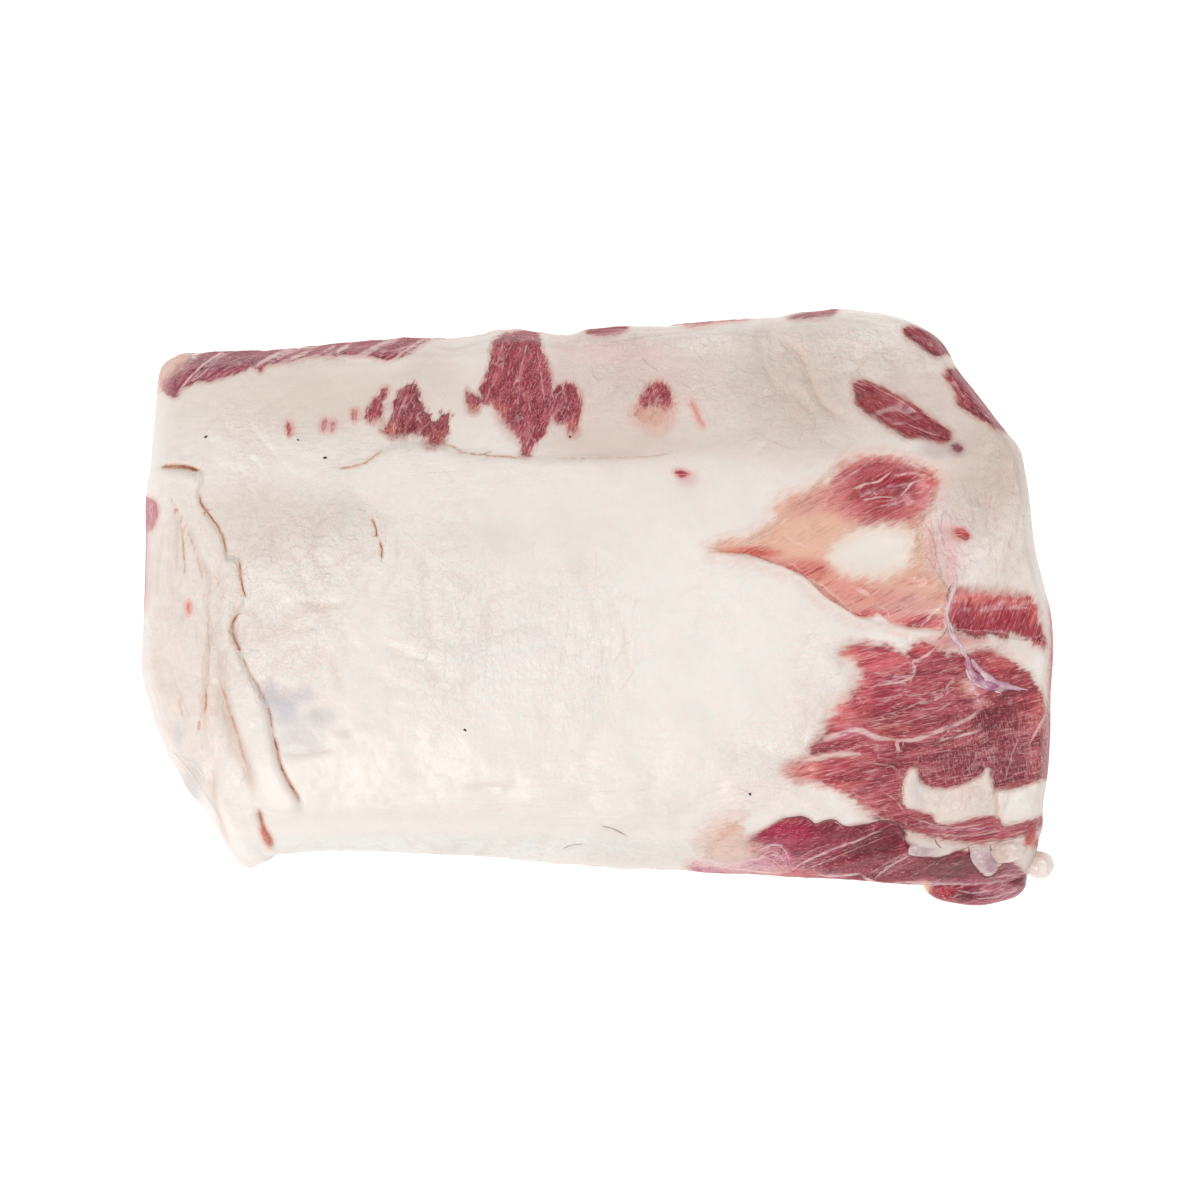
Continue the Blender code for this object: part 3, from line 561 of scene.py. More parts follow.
# Pale sinew lines and the seams of fat in the lean, and a few lines of painted highlight.
SINEWS_AND_HIGHLIGHT_LINES = lines(
    (((874, 685), (885, 684), (899, 682), (912, 677), (915, 668), (912, 662), (920, 659), (930, 653),
        (941, 642)), 1.4),
    (((870, 672), (882, 673), (896, 669), (908, 662), (915, 661)), 1.2, 0.9),
    (((878, 677), (896, 675), (910, 670), (915, 664)), 0.9, 0.7),
    (((908, 696), (926, 694), (940, 690), (956, 681)), 0.9, 0.8),
    (((906, 705), (928, 703), (942, 696), (957, 687)), 0.9, 0.8),
    (((811, 744), (828, 738), (845, 732), (859, 730), (876, 737), (895, 740)), 2.8),
    (((890, 740), (914, 740), (936, 732), (946, 728), (962, 722), (974, 715), (980, 710)), 2.2),
    (((896, 742), (898, 747), (899, 752)), 2.6), (((938, 741), (955, 737), (974, 732), (984, 728)), 1.6, 0.9),
    (((880, 716), (905, 709), (930, 697)), 0.9, 0.6),
    (((804, 760), (828, 755), (850, 753), (862, 755)), 1.8, 0.9),
    (((866, 722), (886, 719), (900, 716)), 0.9, 0.5),
    (((872, 728), (900, 724), (935, 712), (955, 700)), 0.9, 0.6),
    (((868, 700), (890, 697), (912, 690)), 0.8, 0.5), (((930, 700), (945, 690), (955, 676)), 1.0, 0.6),
    (((1008, 701), (1012, 705)), 1.8, 0.9), (((860, 762), (890, 766), (900, 776)), 0.9, 0.5),
    (((880, 790), (895, 800), (905, 812)), 1.0, 0.5), (((905, 829), (890, 822), (870, 812)), 1.0, 0.5),
    (((908, 816), (925, 822), (950, 828), (985, 824)), 1.0, 0.6),
    (((930, 833), (960, 836), (990, 833), (1020, 824)), 0.9, 0.6),
    (((1030, 744), (1037, 730), (1043, 720), (1046, 711)), 1.2, 0.8),
    (((960, 775), (972, 765), (978, 752)), 0.9, 0.5), (((1005, 780), (1012, 755), (1020, 735)), 0.9, 0.5),
    # in the ring
    (((853, 489), (866, 484), (879, 481), (892, 471)), 1.3), (((862, 500), (882, 497), (898, 498)), 1.1, 0.8),
    (((898, 498), (906, 490), (914, 482), (926, 479)), 1.2, 0.9),
    (((876, 508), (890, 504), (900, 506)), 1.0, 0.6), (((848, 476), (858, 470), (868, 462)), 1.0, 0.6),
    (((920, 628), (926, 620), (936, 611), (944, 604)), 1.8, 0.9),
    (((952, 578), (949, 598), (946, 616), (946, 632)), 2.2), (((856, 588), (864, 592), (870, 596)), 2.4, 0.8),
    (((784, 536), (800, 544), (812, 548)), 1.6, 0.5), (((878, 606), (886, 610), (890, 618)), 1.0, 0.6),
    # on the patches over the ribs
    (((503, 343), (497, 364)), 1.0, 0.7), (((527, 344), (520, 372), (516, 386)), 1.0, 0.8),
    (((513, 384), (518, 396), (517, 408)), 0.9, 0.6), (((505, 352), (502, 372)), 0.9, 0.5),
    (((537, 350), (542, 380), (545, 404)), 0.9, 0.5), (((526, 448), (530, 436), (536, 424)), 0.9, 0.6),
    (((494, 382), (488, 394), (484, 402)), 0.8, 0.5), (((407, 397), (400, 410), (398, 420)), 1.0, 0.7),
    (((413, 402), (416, 414), (422, 424)), 0.9, 0.6), (((402, 400), (409, 410), (412, 418)), 0.9, 0.6),
    (((872, 386), (896, 398), (918, 413)), 0.8, 0.5), (((908, 424), (924, 431), (940, 436)), 0.8, 0.5),
    (((655, 386), (650, 398), (648, 412)), 1.0, 0.6), (((662, 390), (656, 404), (654, 418)), 1.0, 0.6),
    # between the bundles at the upper left
    (((176, 396), (186, 382), (204, 364), (226, 350)), 1.4),
    (((186, 384), (200, 376), (222, 356), (240, 350)), 1.0, 0.7),
    (((205, 378), (222, 366), (246, 356)), 0.8, 0.5), (((248, 372), (262, 362), (282, 352), (300, 345)), 2.0),
    (((276, 364), (294, 358), (312, 349), (326, 341)), 2.0), (((300, 360), (320, 354), (336, 345)), 1.2, 0.8),
    (((324, 357), (340, 350), (356, 340)), 2.0), (((356, 357), (372, 350), (386, 343), (402, 337)), 2.6),
    (((392, 360), (404, 352), (416, 344), (428, 337)), 1.6), (((378, 352), (394, 350), (408, 346)), 0.9, 0.7),
    (((262, 369), (292, 363), (320, 358), (350, 356), (384, 361), (404, 357)), 1.4, 0.9),
    (((404, 357), (420, 348), (436, 340), (460, 337), (492, 334)), 1.4, 0.8),
    # silvery folds over the dark lean
    (((752, 855), (763, 849), (773, 845), (780, 846), (786, 852), (790, 862)), 0.8, 0.8),
    (((756, 860), (768, 852), (778, 853), (784, 861), (789, 870)), 0.7, 0.7),
    (((738, 865), (754, 860), (768, 858), (778, 864), (788, 872)), 0.7, 0.8),
    (((724, 862), (742, 858), (758, 853)), 0.6, 0.6),
    (((740, 870), (760, 866), (776, 869), (788, 874)), 0.7, 0.7),
    (((790, 873), (799, 865), (813, 858), (827, 852), (841, 846), (859, 840), (874, 833),
        (882, 831)), 1.1, 0.9),
    (((800, 872), (822, 863), (846, 853), (868, 844), (884, 837)), 0.5, 0.8),
    (((800, 857), (816, 849), (834, 843)), 0.45, 0.5),
    (((874, 879), (886, 869), (897, 862), (911, 855)), 1.0, 0.8),
    (((868, 875), (882, 866), (898, 857), (914, 851)), 0.5, 0.6),
    (((884, 876), (898, 868), (914, 860)), 0.5, 0.6), (((862, 875), (869, 880), (876, 882)), 1.4, 0.9),
    (((690, 867), (712, 865), (728, 868), (752, 871), (776, 873), (792, 871)), 1.0, 0.9),
    (((818, 872), (824, 876), (834, 876), (848, 875), (862, 873)), 1.2, 0.9),
    (((880, 884), (920, 882), (970, 884), (1014, 880)), 1.2, 0.8),
    # painted highlights: two short white lines on the lobes at the top edge of the dark lean
    (((807, 818), (812, 821), (817, 826)), 0.8, 0.8), (((834, 821), (839, 824), (844, 829)), 0.8, 0.8),
    (((985, 880), (1004, 876), (1026, 873)), 1.0, 0.7), (((956, 890), (975, 893), (995, 889)), 0.9, 0.8),
    (((976, 899), (996, 897), (1012, 891)), 0.9, 0.8), (((998, 888), (1010, 893), (1020, 886)), 0.9, 0.7),
    # along the sawn edge of the ribs
    (((496, 332), (520, 329), (546, 332), (566, 337)), 0.9, 0.7),
    (((560, 338), (580, 336), (602, 337), (622, 331)), 1.2, 0.8),
    (((622, 330), (650, 330), (676, 328), (700, 323)), 1.0, 0.7),
)
# Finer sinews are drawn at random: how many, middle and radii of the place, and their angle.
SINEW_PLACES = (
    (20, (905, 712), (52, 44), 14), (16, (1000, 748), (34, 36), 8), (26, (1000, 752), (32, 34), 78, 9),
    (26, (955, 762), (40, 10), 84, 8), (10, (870, 775), (36, 22), -24), (14, (960, 829), (56, 8), -3),
    (9, (884, 490), (30, 20), 32), (16, (517, 388), (20, 44), 72), (8, (410, 412), (18, 18), 60),
    (6, (566, 404), (12, 18), 82), (3, (902, 410), (38, 14), -33), (5, (978, 402), (18, 14), -50),
    (4, (926, 340), (14, 8), -38), (9, (208, 368), (36, 9), 34), (9, (340, 352), (70, 8), 26),
    (8, (996, 614), (38, 14), 66), (8, (862, 602), (60, 9), -20), (6, (800, 520), (40, 14), 30),
    (5, (655, 396), (12, 10), 72), (12, (985, 893), (34, 8), 14), (6, (940, 866), (26, 8), 14, 20),
    (8, (900, 694), (36, 16), 10, 18), (16, (1004, 876), (20, 4), 8, 12), (8, (1016, 720), (20, 22), 70, 12),
    (12, (870, 752), (36, 10), 8, 14), (10, (430, 396), (24, 10), 76), (8, (590, 400), (24, 24), 80),
    (12, (880, 822), (30, 10), -20),
)


# Fine wrinkles of the fat, drawn at random too as faint lines of painted shade: how many, middle and radii of
# the place, angle and length.
WRINKLE_PLACES = (
    (12, (300, 620), (50, 70), 60, 26), (9, (440, 620), (50, 90), 86, 30), (16, (590, 620), (50, 64), 78, 34),
    (12, (330, 440), (100, 26), 8, 26), (16, (650, 380), (110, 50), 60, 26),
    (16, (800, 380), (60, 60), 72, 40), (14, (1004, 500), (20, 90), 80, 34),
    (14, (945, 545), (26, 44), 75, 22), (16, (620, 810), (170, 40), 10, 30),
    (12, (180, 600), (30, 150), 86, 44), (12, (222, 700), (24, 100), 78, 44),
    (10, (480, 470), (120, 22), 5, 36), (12, (860, 350), (50, 30), 36, 26), (18, (500, 849), (250, 8), 4, 44),
    (14, (600, 338), (310, 7), 4, 34), (8, (700, 450), (50, 20), -20, 26), (8, (330, 530), (60, 40), 66, 24),
    (8, (770, 780), (40, 30), -14, 26), (8, (545, 455), (90, 8), 6, 26), (8, (820, 700), (26, 70), 24, 26),
    (6, (960, 645), (60, 8), -4, 26),
)


def drawn_lines(places, seed, length, widths, strengths):
    """Short thin lines that wander a little, strewn over their places."""
    lines = []
    for k, (count, middle, radii, angle, *given) in enumerate(places):
        rng = np.random.default_rng(seed + k)
        for _ in range(count):
            turns = np.radians(angle + rng.normal(0, 7) + np.cumsum(rng.normal(0, 7, 6)))
            reach = (given[0] if given else length) * rng.uniform(0.5, 1.3)
            steps = np.stack([np.cos(turns), -np.sin(turns)], -1) * reach / 6
            path = np.array(middle) + rng.uniform(-1, 1, 2) * radii + np.cumsum(steps, 0) - steps.sum(0) / 2
            lines.append(Line(path, rng.uniform(*widths), rng.uniform(*strengths)))
    return tuple(lines)


# Edges at which the cover ends sharply over the lean, however soft the rest of that lean's edge is.
SHARP_EDGES = (
    ((719, 553), (746, 554), (766, 560), (792, 570), (809, 580), (825, 596), (842, 606), (858, 616),
        (872, 618), (878, 613), (892, 623), (912, 628), (937, 629)),
    ((751, 825), (776, 822), (805, 817), (834, 820), (867, 825), (905, 832)),
)
# Steps in height: outline, rise in metres, and from where to where across its edge, in pixels.
STEPS = (
    # the fold over the loin end, thicker towards its lower tip
    (((40, 466), (140, 467), (172, 468), (203, 474), (199, 494), (208, 513), (223, 537), (227, 557),
        (239, 562), (244, 598), (236, 618), (234, 632), (249, 672), (266, 701), (273, 733), (280, 763),
        (293, 789), (300, 804), (294, 816), (276, 820), (258, 812), (262, 826), (270, 840), (274, 880),
        (240, 920), (40, 920)), 0.0026, -1.0, 4.0),
    (((225, 620), (236, 640), (249, 672), (266, 701), (273, 733), (280, 763), (293, 789), (300, 804),
        (292, 818), (262, 812), (240, 780), (226, 700)), 0.0012, -1.0, 9.0),
    (((700, 549), (746, 540), (800, 500), (850, 456), (935, 470), (930, 560), (1040, 590), (1048, 640),
        (985, 636), (905, 630), (858, 618), (820, 592), (780, 566)), -0.0016, -1.0, 5.0),
    (((830, 640), (1000, 645), (1070, 700), (1070, 850), (900, 850), (790, 780),
        (850, 700)), -0.0016, -4.0, 12.0),
    (((905, 831), (935, 854), (962, 846), (1060, 848), (1060, 940), (868, 940), (874, 881), (897, 863),
        (906, 852)), -0.0018, -2.0, 6.0),
    (PALE[1].outline, 0.0024, -1.0, 3.0), (PALE[2].outline, 0.0020, -2.0, 8.0),
    (LEAN[0].outline, 0.0010, -1.0, 7.0), (LEAN[1].outline, 0.0009, -1.0, 5.0),
    (((486, 340), (545, 330), (556, 400), (528, 458), (500, 420), (480, 392)), -0.0006, -2.0, 4.0),
    (((380, 430), (412, 380), (450, 416), (440, 446)), -0.0006, -2.0, 4.0),
    (((854, 384), (883, 388), (918, 408), (952, 437), (909, 438), (866, 412)), -0.0007, -2.0, 4.0),
    (((842, 496), (862, 460), (905, 465), (937, 479), (918, 516), (872, 524)), 0.0008, -2.0, 16.0),
    (((948, 596), (1032, 598), (1045, 648), (965, 633)), 0.0008, -2.0, 12.0),
)
# Sheer whitish tissue over the lean: line, half width in pixels and strength.
VEILS = (
    (((752, 855), (763, 849), (773, 845), (780, 846), (786, 852), (790, 862)), 2.6, 0.85),
    (((736, 864), (756, 859), (772, 854), (782, 859), (789, 868)), 3.4, 0.75),
    (((790, 873), (799, 865), (813, 858), (827, 852), (841, 846), (859, 840), (874, 833)), 3.4, 0.62),
    (((806, 872), (830, 861), (856, 851), (880, 840)), 4.0, 0.22),
    (((874, 879), (886, 870), (898, 861), (912, 854)), 4.0, 0.55),
    (((862, 875), (869, 880), (876, 882)), 2.6, 0.9), (((956, 890), (985, 893), (1012, 888)), 2.6, 0.5),
    (((690, 867), (720, 865), (745, 869), (770, 870), (790, 872)), 2.4, 0.7),
    (((818, 873), (840, 876), (864, 873)), 1.6, 0.8), (((844, 866), (860, 862), (876, 868)), 2.4, 0.3),
    (((893, 826), (904, 838), (914, 850)), 2.4, 0.5),
    (((880, 884), (915, 884), (945, 884), (985, 884), (1007, 882), (1026, 877)), 1.6, 1.0),
    (((915, 862), (940, 872), (970, 876), (990, 880)), 2.4, 0.35),
    (((955, 892), (985, 896), (1012, 890)), 2, 0.4), (((966, 903), (990, 902), (1012, 897)), 2, 0.5),
    (((812, 744), (828, 738), (845, 733), (860, 731), (876, 737), (895, 741)), 4.0, 1.0),
    (((886, 741), (908, 740), (932, 735), (946, 728), (962, 722), (974, 715), (981, 708)), 2.8, 0.9),
    (((802, 760), (828, 755), (850, 753), (864, 756)), 3.0, 0.8),
    (((939, 741), (955, 737), (974, 732), (984, 728)), 2.2, 0.8),
    (((866, 682), (885, 681), (899, 678), (911, 675), (915, 666), (920, 660), (932, 653),
        (942, 641)), 2.8, 0.8),
    (((966, 678), (972, 688), (978, 698), (974, 712)), 4.5, 0.85),
    (((918, 702), (938, 694), (955, 688)), 2.5, 0.5),
    (((1030, 744), (1037, 730), (1043, 720), (1046, 710)), 2.2, 0.85), (((1006, 700), (1014, 704)), 4, 0.6),
    (((866, 770), (876, 780), (884, 796)), 4, 0.4), (((842, 786), (862, 792), (880, 806)), 5, 0.4),
    (((905, 816), (940, 829), (985, 828), (1015, 822)), 2.4, 0.7),
    (((930, 834), (965, 838), (1000, 832), (1034, 820)), 1.6, 0.6),
    (((840, 480), (866, 470), (890, 466)), 3, 0.4), (((860, 496), (884, 488), (902, 478)), 3.0, 0.6),
    (((880, 510), (898, 502), (914, 494)), 2.6, 0.6), (((905, 500), (912, 492)), 5, 0.5),
    (((922, 628), (932, 614), (946, 600)), 2.4, 0.8), (((946, 572), (950, 596), (946, 630)), 3.2, 0.9),
    (((856, 586), (870, 596)), 3.4, 0.6), (((498, 345), (492, 380)), 3, 0.4),
    (((516, 345), (520, 400), (530, 446)), 2.6, 0.4), (((545, 360), (552, 400), (546, 430)), 4, 0.5),
    (((404, 392), (396, 410), (392, 424)), 2.4, 0.4), (((424, 400), (432, 412)), 4, 0.5),
    (((652, 392), (648, 412)), 2.5, 0.4), (((178, 396), (200, 372), (226, 352)), 2.2, 0.7),
    (((196, 384), (214, 366), (240, 352)), 1.8, 0.5), (((226, 376), (250, 358), (270, 350)), 2.0, 0.5),
    (((262, 366), (290, 352), (320, 344)), 3.0, 0.9), (((318, 354), (338, 344)), 2.4, 0.8),
    (((362, 352), (396, 338)), 3.0, 0.9), (((394, 356), (424, 338)), 2.4, 0.8),
    (((906, 338), (930, 352)), 3, 0.4), (((950, 372), (990, 418)), 2.4, 0.3),
    (((866, 392), (900, 404), (934, 428)), 2.4, 0.35), (((960, 600), (966, 630)), 3, 0.3),
    (((500, 332), (542, 332)), 1.4, 0.4),
)
# Ledges: line, rise in metres on the side where distances to it are positive, and half width in pixels of
# the slope. They fade at both ends and away from the line.
LEDGES = (
    (((300, 468), (335, 469), (365, 463), (385, 448), (430, 446), (480, 456), (540, 459), (600, 457),
        (680, 453)), 0.0022, 5.0),
    (((722, 852), (744, 838), (757, 829), (776, 820), (790, 816), (805, 816), (816, 823), (834, 819),
        (850, 826), (867, 824), (885, 821), (900, 827), (916, 834)), -0.0011, 2.0),
)
# Folds and creases: line, depth in metres and half width in pixels. The fat is also painted with warm shade
# along each fold that sinks in.
FOLDS = (
    (((216, 764), (214, 792), (221, 822), (230, 850)), 0.0014, 5),
    (((207, 596), (210, 640), (205, 680), (202, 722)), 0.0010, 3),
    (((218, 650), (225, 700), (236, 732), (248, 768), (255, 804)), 0.0016, 5),
    (((222, 688), (234, 744), (248, 777), (253, 800)), 0.0011, 7),
    (((171, 496), (177, 518), (176, 552), (184, 598)), 0.0005, 3),
    (((182, 511), (193, 534), (197, 555), (210, 579), (207, 607), (208, 628)), 0.0006, 3),
    (((208, 628), (206, 690), (204, 731), (214, 770)), 0.0007, 4),
    (((152, 590), (160, 680), (175, 740), (200, 792)), 0.0005, 7),
    (((226, 560), (222, 590), (218, 640), (222, 688)), 0.0006, 4),
    (((293, 601), (325, 607), (352, 601)), 0.0008, 4),
    (((280, 751), (296, 755), (325, 751), (337, 745)), 0.0006, 4),
    (((368, 513), (378, 538), (382, 563)), 0.0009, 2.5),
    (((423, 528), (425, 600), (432, 640), (436, 675)), 0.0006, 5),
    (((605, 592), (623, 631), (627, 678)), 0.0005, 3), (((575, 560), (590, 600), (600, 640)), 0.0004, 4),
    (((764, 330), (793, 349), (804, 364), (810, 379), (815, 394), (825, 407), (838, 416),
        (858, 428)), 0.0012, 5),
    (((746, 419), (753, 404), (770, 396), (791, 396), (806, 407), (815, 419), (812, 434)), 0.0004, 4),
    (((560, 342), (590, 341), (620, 341), (650, 336), (690, 332), (740, 327)), 0.0007, 2.5),
    (((430, 345), (452, 350), (472, 345), (488, 340)), 0.0009, 3),
    (((740, 327), (790, 323), (850, 320), (900, 330)), 0.0006, 3),
    (((172, 500), (182, 530), (186, 590)), 0.0006, 3), (((240, 562), (238, 590), (232, 620)), 0.0008, 4),
    (((855, 350), (858, 387)), 0.0004, 6), (((623, 804), (649, 810), (679, 805), (705, 792)), -0.0006, 5),
    (((448, 790), (500, 786), (540, 790)), 0.0004, 4),
    (((640, 420), (670, 440), (700, 446), (726, 440)), 0.0004, 5),
    (((602, 827), (617, 830), (626, 835)), 0.0008, 2.5), (((564, 848), (582, 843)), 0.0006, 2.5),
    (((905, 642), (950, 640), (1000, 648), (1040, 664)), -0.0008, 10),
    (((700, 868), (762, 858), (800, 884)), -0.0010, 4), (((790, 886), (850, 866), (896, 838)), -0.0014, 7),
    (((740, 846), (770, 848), (800, 842)), 0.0007, 6), (((832, 850), (860, 842), (880, 838)), 0.0010, 8),
    (((990, 545), (1000, 500), (996, 460)), 0.0005, 6), (((1010, 560), (1018, 520), (1010, 480)), 0.0006, 5),
    (((190, 383), (205, 368), (226, 352)), 0.0007, 3), (((268, 364), (300, 352), (322, 343)), 0.0012, 3),
    (((320, 352), (345, 343)), 0.0010, 3), (((366, 351), (396, 339)), 0.0010, 3),
    (((908, 816), (940, 826), (985, 826)), 0.0007, 3), (((930, 833), (970, 837), (1015, 828)), 0.0006, 3),
    (((893, 700), (940, 690), (990, 660)), -0.0006, 12), (((840, 740), (900, 741), (980, 716)), 0.0008, 5),
    (((900, 752), (950, 756), (1000, 730)), -0.0005, 8), (((994, 786), (997, 800), (996, 820)), 0.0012, 2.5),
    (((944, 520), (948, 560), (948, 600)), 0.0005, 6), (((300, 640), (330, 660), (345, 700)), 0.0005, 8),
    (((171, 496), (176, 513), (178, 532), (177, 566), (179, 591)), 0.0006, 1.8),
    (((191, 530), (198, 552), (209, 577), (208, 608), (209, 653)), 0.0007, 1.8),
    (((164, 530), (159, 566), (157, 600)), 0.0005, 1.8),
    (((152, 479), (170, 477), (190, 479), (201, 487)), -0.0008, 2.5), (((237, 568), (243, 606)), -0.0007, 3),
    (((258, 806), (264, 828), (272, 850)), 0.0012, 3), (((159, 468), (184, 468), (203, 474)), 0.0014, 3),
)


def evenly_dense(rows):
    """Shares from 0 to 1 whose spacing follows the named density along the rack."""
    share = np.linspace(0, 1, 2001)
    passed = np.cumsum(np.interp(share, *zip(*ROW_DENSITY)))
    return np.interp(np.linspace(passed[0], passed[-1], rows + 1), passed, share)


def edge_spacing(first_rows, middle_rows, last_rows, first_share, last_share, spread):
    """Shares from 0 to 1: rows of equal turn over the two rounded edges, and the spread ones between."""
    first = first_share * (1 - np.cos(np.linspace(0, math.pi / 2, first_rows + 1)))
    last = 1 - last_share * (1 - np.cos(np.linspace(math.pi / 2, 0, last_rows + 1)))
    middle = first[-1] + (last[0] - first[-1]) * spread(middle_rows)
    return np.concatenate([first[:-1], middle, last[1:]])


def plan_grid():
    """The outline filled with a grid of pixels: each point blends the four edges (a Coons patch)."""
    s = edge_spacing(
        LOIN_ROWS, LENGTH_ROWS, SHOULDER_ROWS, ROUND_LOIN_END / LENGTH, ROUND_SHOULDER_END / LENGTH,
        evenly_dense,
    )
    t = edge_spacing(
        SPINE_ROWS, WIDTH_ROWS, RIB_ROWS, ROUND_SPINE / WIDTH, ROUND_RIBS / WIDTH,
        lambda rows: np.linspace(0, 1, rows + 1),
    )
    low, high = curve_through(SPINE_EDGE, s)[:, None], curve_through(RIB_EDGE, s)[:, None]
    held = np.sin(math.pi * s)[:, None] ** 0.5
    for edge, (waver, cell, seed) in ((high, RIB_WAVER), (low, SPINE_WAVER)):
        edge[..., 1] += waver * held * layered_noise(edge[..., 0], 0 * edge[..., 0], cell, seed)
    left, right = curve_through(LOIN_END, 1 - t)[None], curve_through(SHOULDER_END, 1 - t)[None]
    s, t = s[:, None, None], t[None, :, None]
    corners = blend(blend(low[0], high[0], t), blend(low[-1], high[-1], t), s)
    return blend(low, high, t) + blend(left, right, s) - corners, s[..., 0]


def swell_height(x, y):
    """The smooth swell of the fat side: a curve across, dropping to both ends, with slow unevenness."""
    swell = curve_through(ACROSS, np.linspace(0, 1, 200))
    height = np.interp(y, swell[:, 0], swell[:, 1])
    height -= LOIN_END_DROP * ramp(-x, *END_DROP)
    height -= SHOULDER_END_DROP * ramp(x, *END_DROP)
    return height + SLOW_SWELL * lattice_noise(x, y, 0.045, 1) + QUICK_SWELL * lattice_noise(x, y, 0.017, 2)


def blob_weight(at, middle, radii):
    """1 in the middle of an oval and falling smoothly to 0 a little past its radii."""
    gap = np.hypot((at[:, 0] - middle[0]) / radii[0], (at[:, 1] - middle[1]) / radii[1])
    return 1 - ramp(gap, 0.25, 1.35)


def creases(at):
    """Strengths of upright streaks, level streaks and crinkles, each from 0.1 to 1."""
    weights = [blob_weight(at, middle, radii)[:, None] * np.array(kinds) for middle, radii, kinds in CREASES]
    return np.clip(0.1 + np.sum(weights, axis=0), 0, 1)


def wrinkles(at):
    """Wrinkled fat: 0 along winding creases, rising to about 1 between them."""
    px, py = at.T
    warp = 26 * lattice_noise(px, py, 75, 11)
    return np.abs(layered_noise(px + warp, (py - warp) * 0.8, 42, 12)) ** 0.8


def relief(at):
    """Height in metres that steps, folds, grain and creases add where the camera sees those pixels."""
    height = np.zeros(len(at))
    for outline, rise, start, end in STEPS:
        height += rise * ramp(outline_distance(at, outline), start, end)
    for line, rise, width in LEDGES:
        gap, along = line_distance(at, line, LEDGE_REACH)
        height += rise * (ramp(gap, -width, width) - 0.5) * trace(gap, along, LEDGE_FADE)
    for line, depth, width in FOLDS:
        height -= depth * trace(*line_distance(at, line), width)
    px, py = at.T
    height += WRINKLE_RISE * creases(at)[:, 2] * (wrinkles(at) - 0.35)
    height += GRAIN_RISE * layered_noise(px, py, 9, 21, 2)
    along, across = turned_plan(px, py, FIBRE_TURN)
    height += FIBRE_RISE * ramp(lean_fields(at)[0], -1, 4) * layered_noise(along / 4, across, 7, 31, 2)
    return height


def rounding(near, far, near_round, far_round):
    """0 on the outline and 1 past its rounded edges, rising as a quarter of an ellipse."""
    rise = 1.0
    for gap, size in ((near, near_round), (far, far_round)):
        rise = rise * np.sqrt(1 - (1 - np.clip(gap / size, 0, 1)) ** 2)
    return rise


def slab_sheets():
    """Points of the fat side and of the underside over one plan grid, which meet on the widest outline."""
    grid, share = plan_grid()
    y = plan_of(grid, SCALE_HEIGHT)[1]
    rim = RIM_AT_SPINE + (RIM_AT_RIBS - RIM_AT_SPINE) * ramp(y, *RIM_SLOPE)
    x = plan_of(grid, rim + BULGE_AT_ENDS)[0]
    y = plan_of(grid, rim + BULGE_AT_RIBS * ramp(y, *BULGE_SLOPE))[1]
    both_ends = (slice(0, 1), slice(-1, None))
    along = [np.hypot(x - x[end, :], y - y[end, :]) for end in both_ends]
    across = [np.hypot(x - x[:, end], y - y[:, end]) for end in both_ends]
    height = swell_height(x, y)
    seen = pixels_of(np.stack([x, y, height], -1)).reshape(-1, 2)
    height = height + relief(seen).reshape(x.shape)
    rise = rounding(*along, ROUND_LOIN_END, ROUND_SHOULDER_END) * rounding(*across, ROUND_SPINE, ROUND_RIBS)
    top = np.stack([x, y, rim + (height - rim) * rise], -1)

    from_crest = np.abs((share * RIB_COUNT) % 1 - 0.5) * 2
    hollow = HOLLOW_DEPTH * ramp(from_crest, RIB_CREST, 1)
    hollow = hollow + UNDER_UNEVEN * (1 + layered_noise(x, y, 0.006, 41)) * ramp(from_crest, 0.2, 0.6)
    rise = rounding(*along, UNDER_ROUND, UNDER_ROUND) * rounding(*across, UNDER_ROUND, UNDER_ROUND)
    under = np.stack([x, y, rim + (hollow - rim) * rise], -1)
    return top, under, np.stack([*along, *across]), from_crest


# ---------------------------------------------------------------- colours and marks carried by the surface


def albedo(colour):
    """The linear colour of a surface that shows that screen colour under these lights.

    The light that a wet surface mirrors is taken off first.
    """
    colour = np.array(colour, float) / 255
    linear = np.where(colour <= 0.04045, colour / 12.92, ((colour + 0.055) / 1.055) ** 2.4)
    return np.maximum(linear / LIGHT - MIRRORED * (1 - linear), DARKEST)


def tint(colours, tone, weight):
    """Linear colours, blended towards a screen colour."""
    return blend(colours, albedo(tone), weight[:, None])


def lessened(values, at, places):
    """Values made less inside soft ovals: middle, radii and how much less."""
    for middle, radii, less in places:
        values = values * (1 - less * blob_weight(at, middle, radii))
    return values


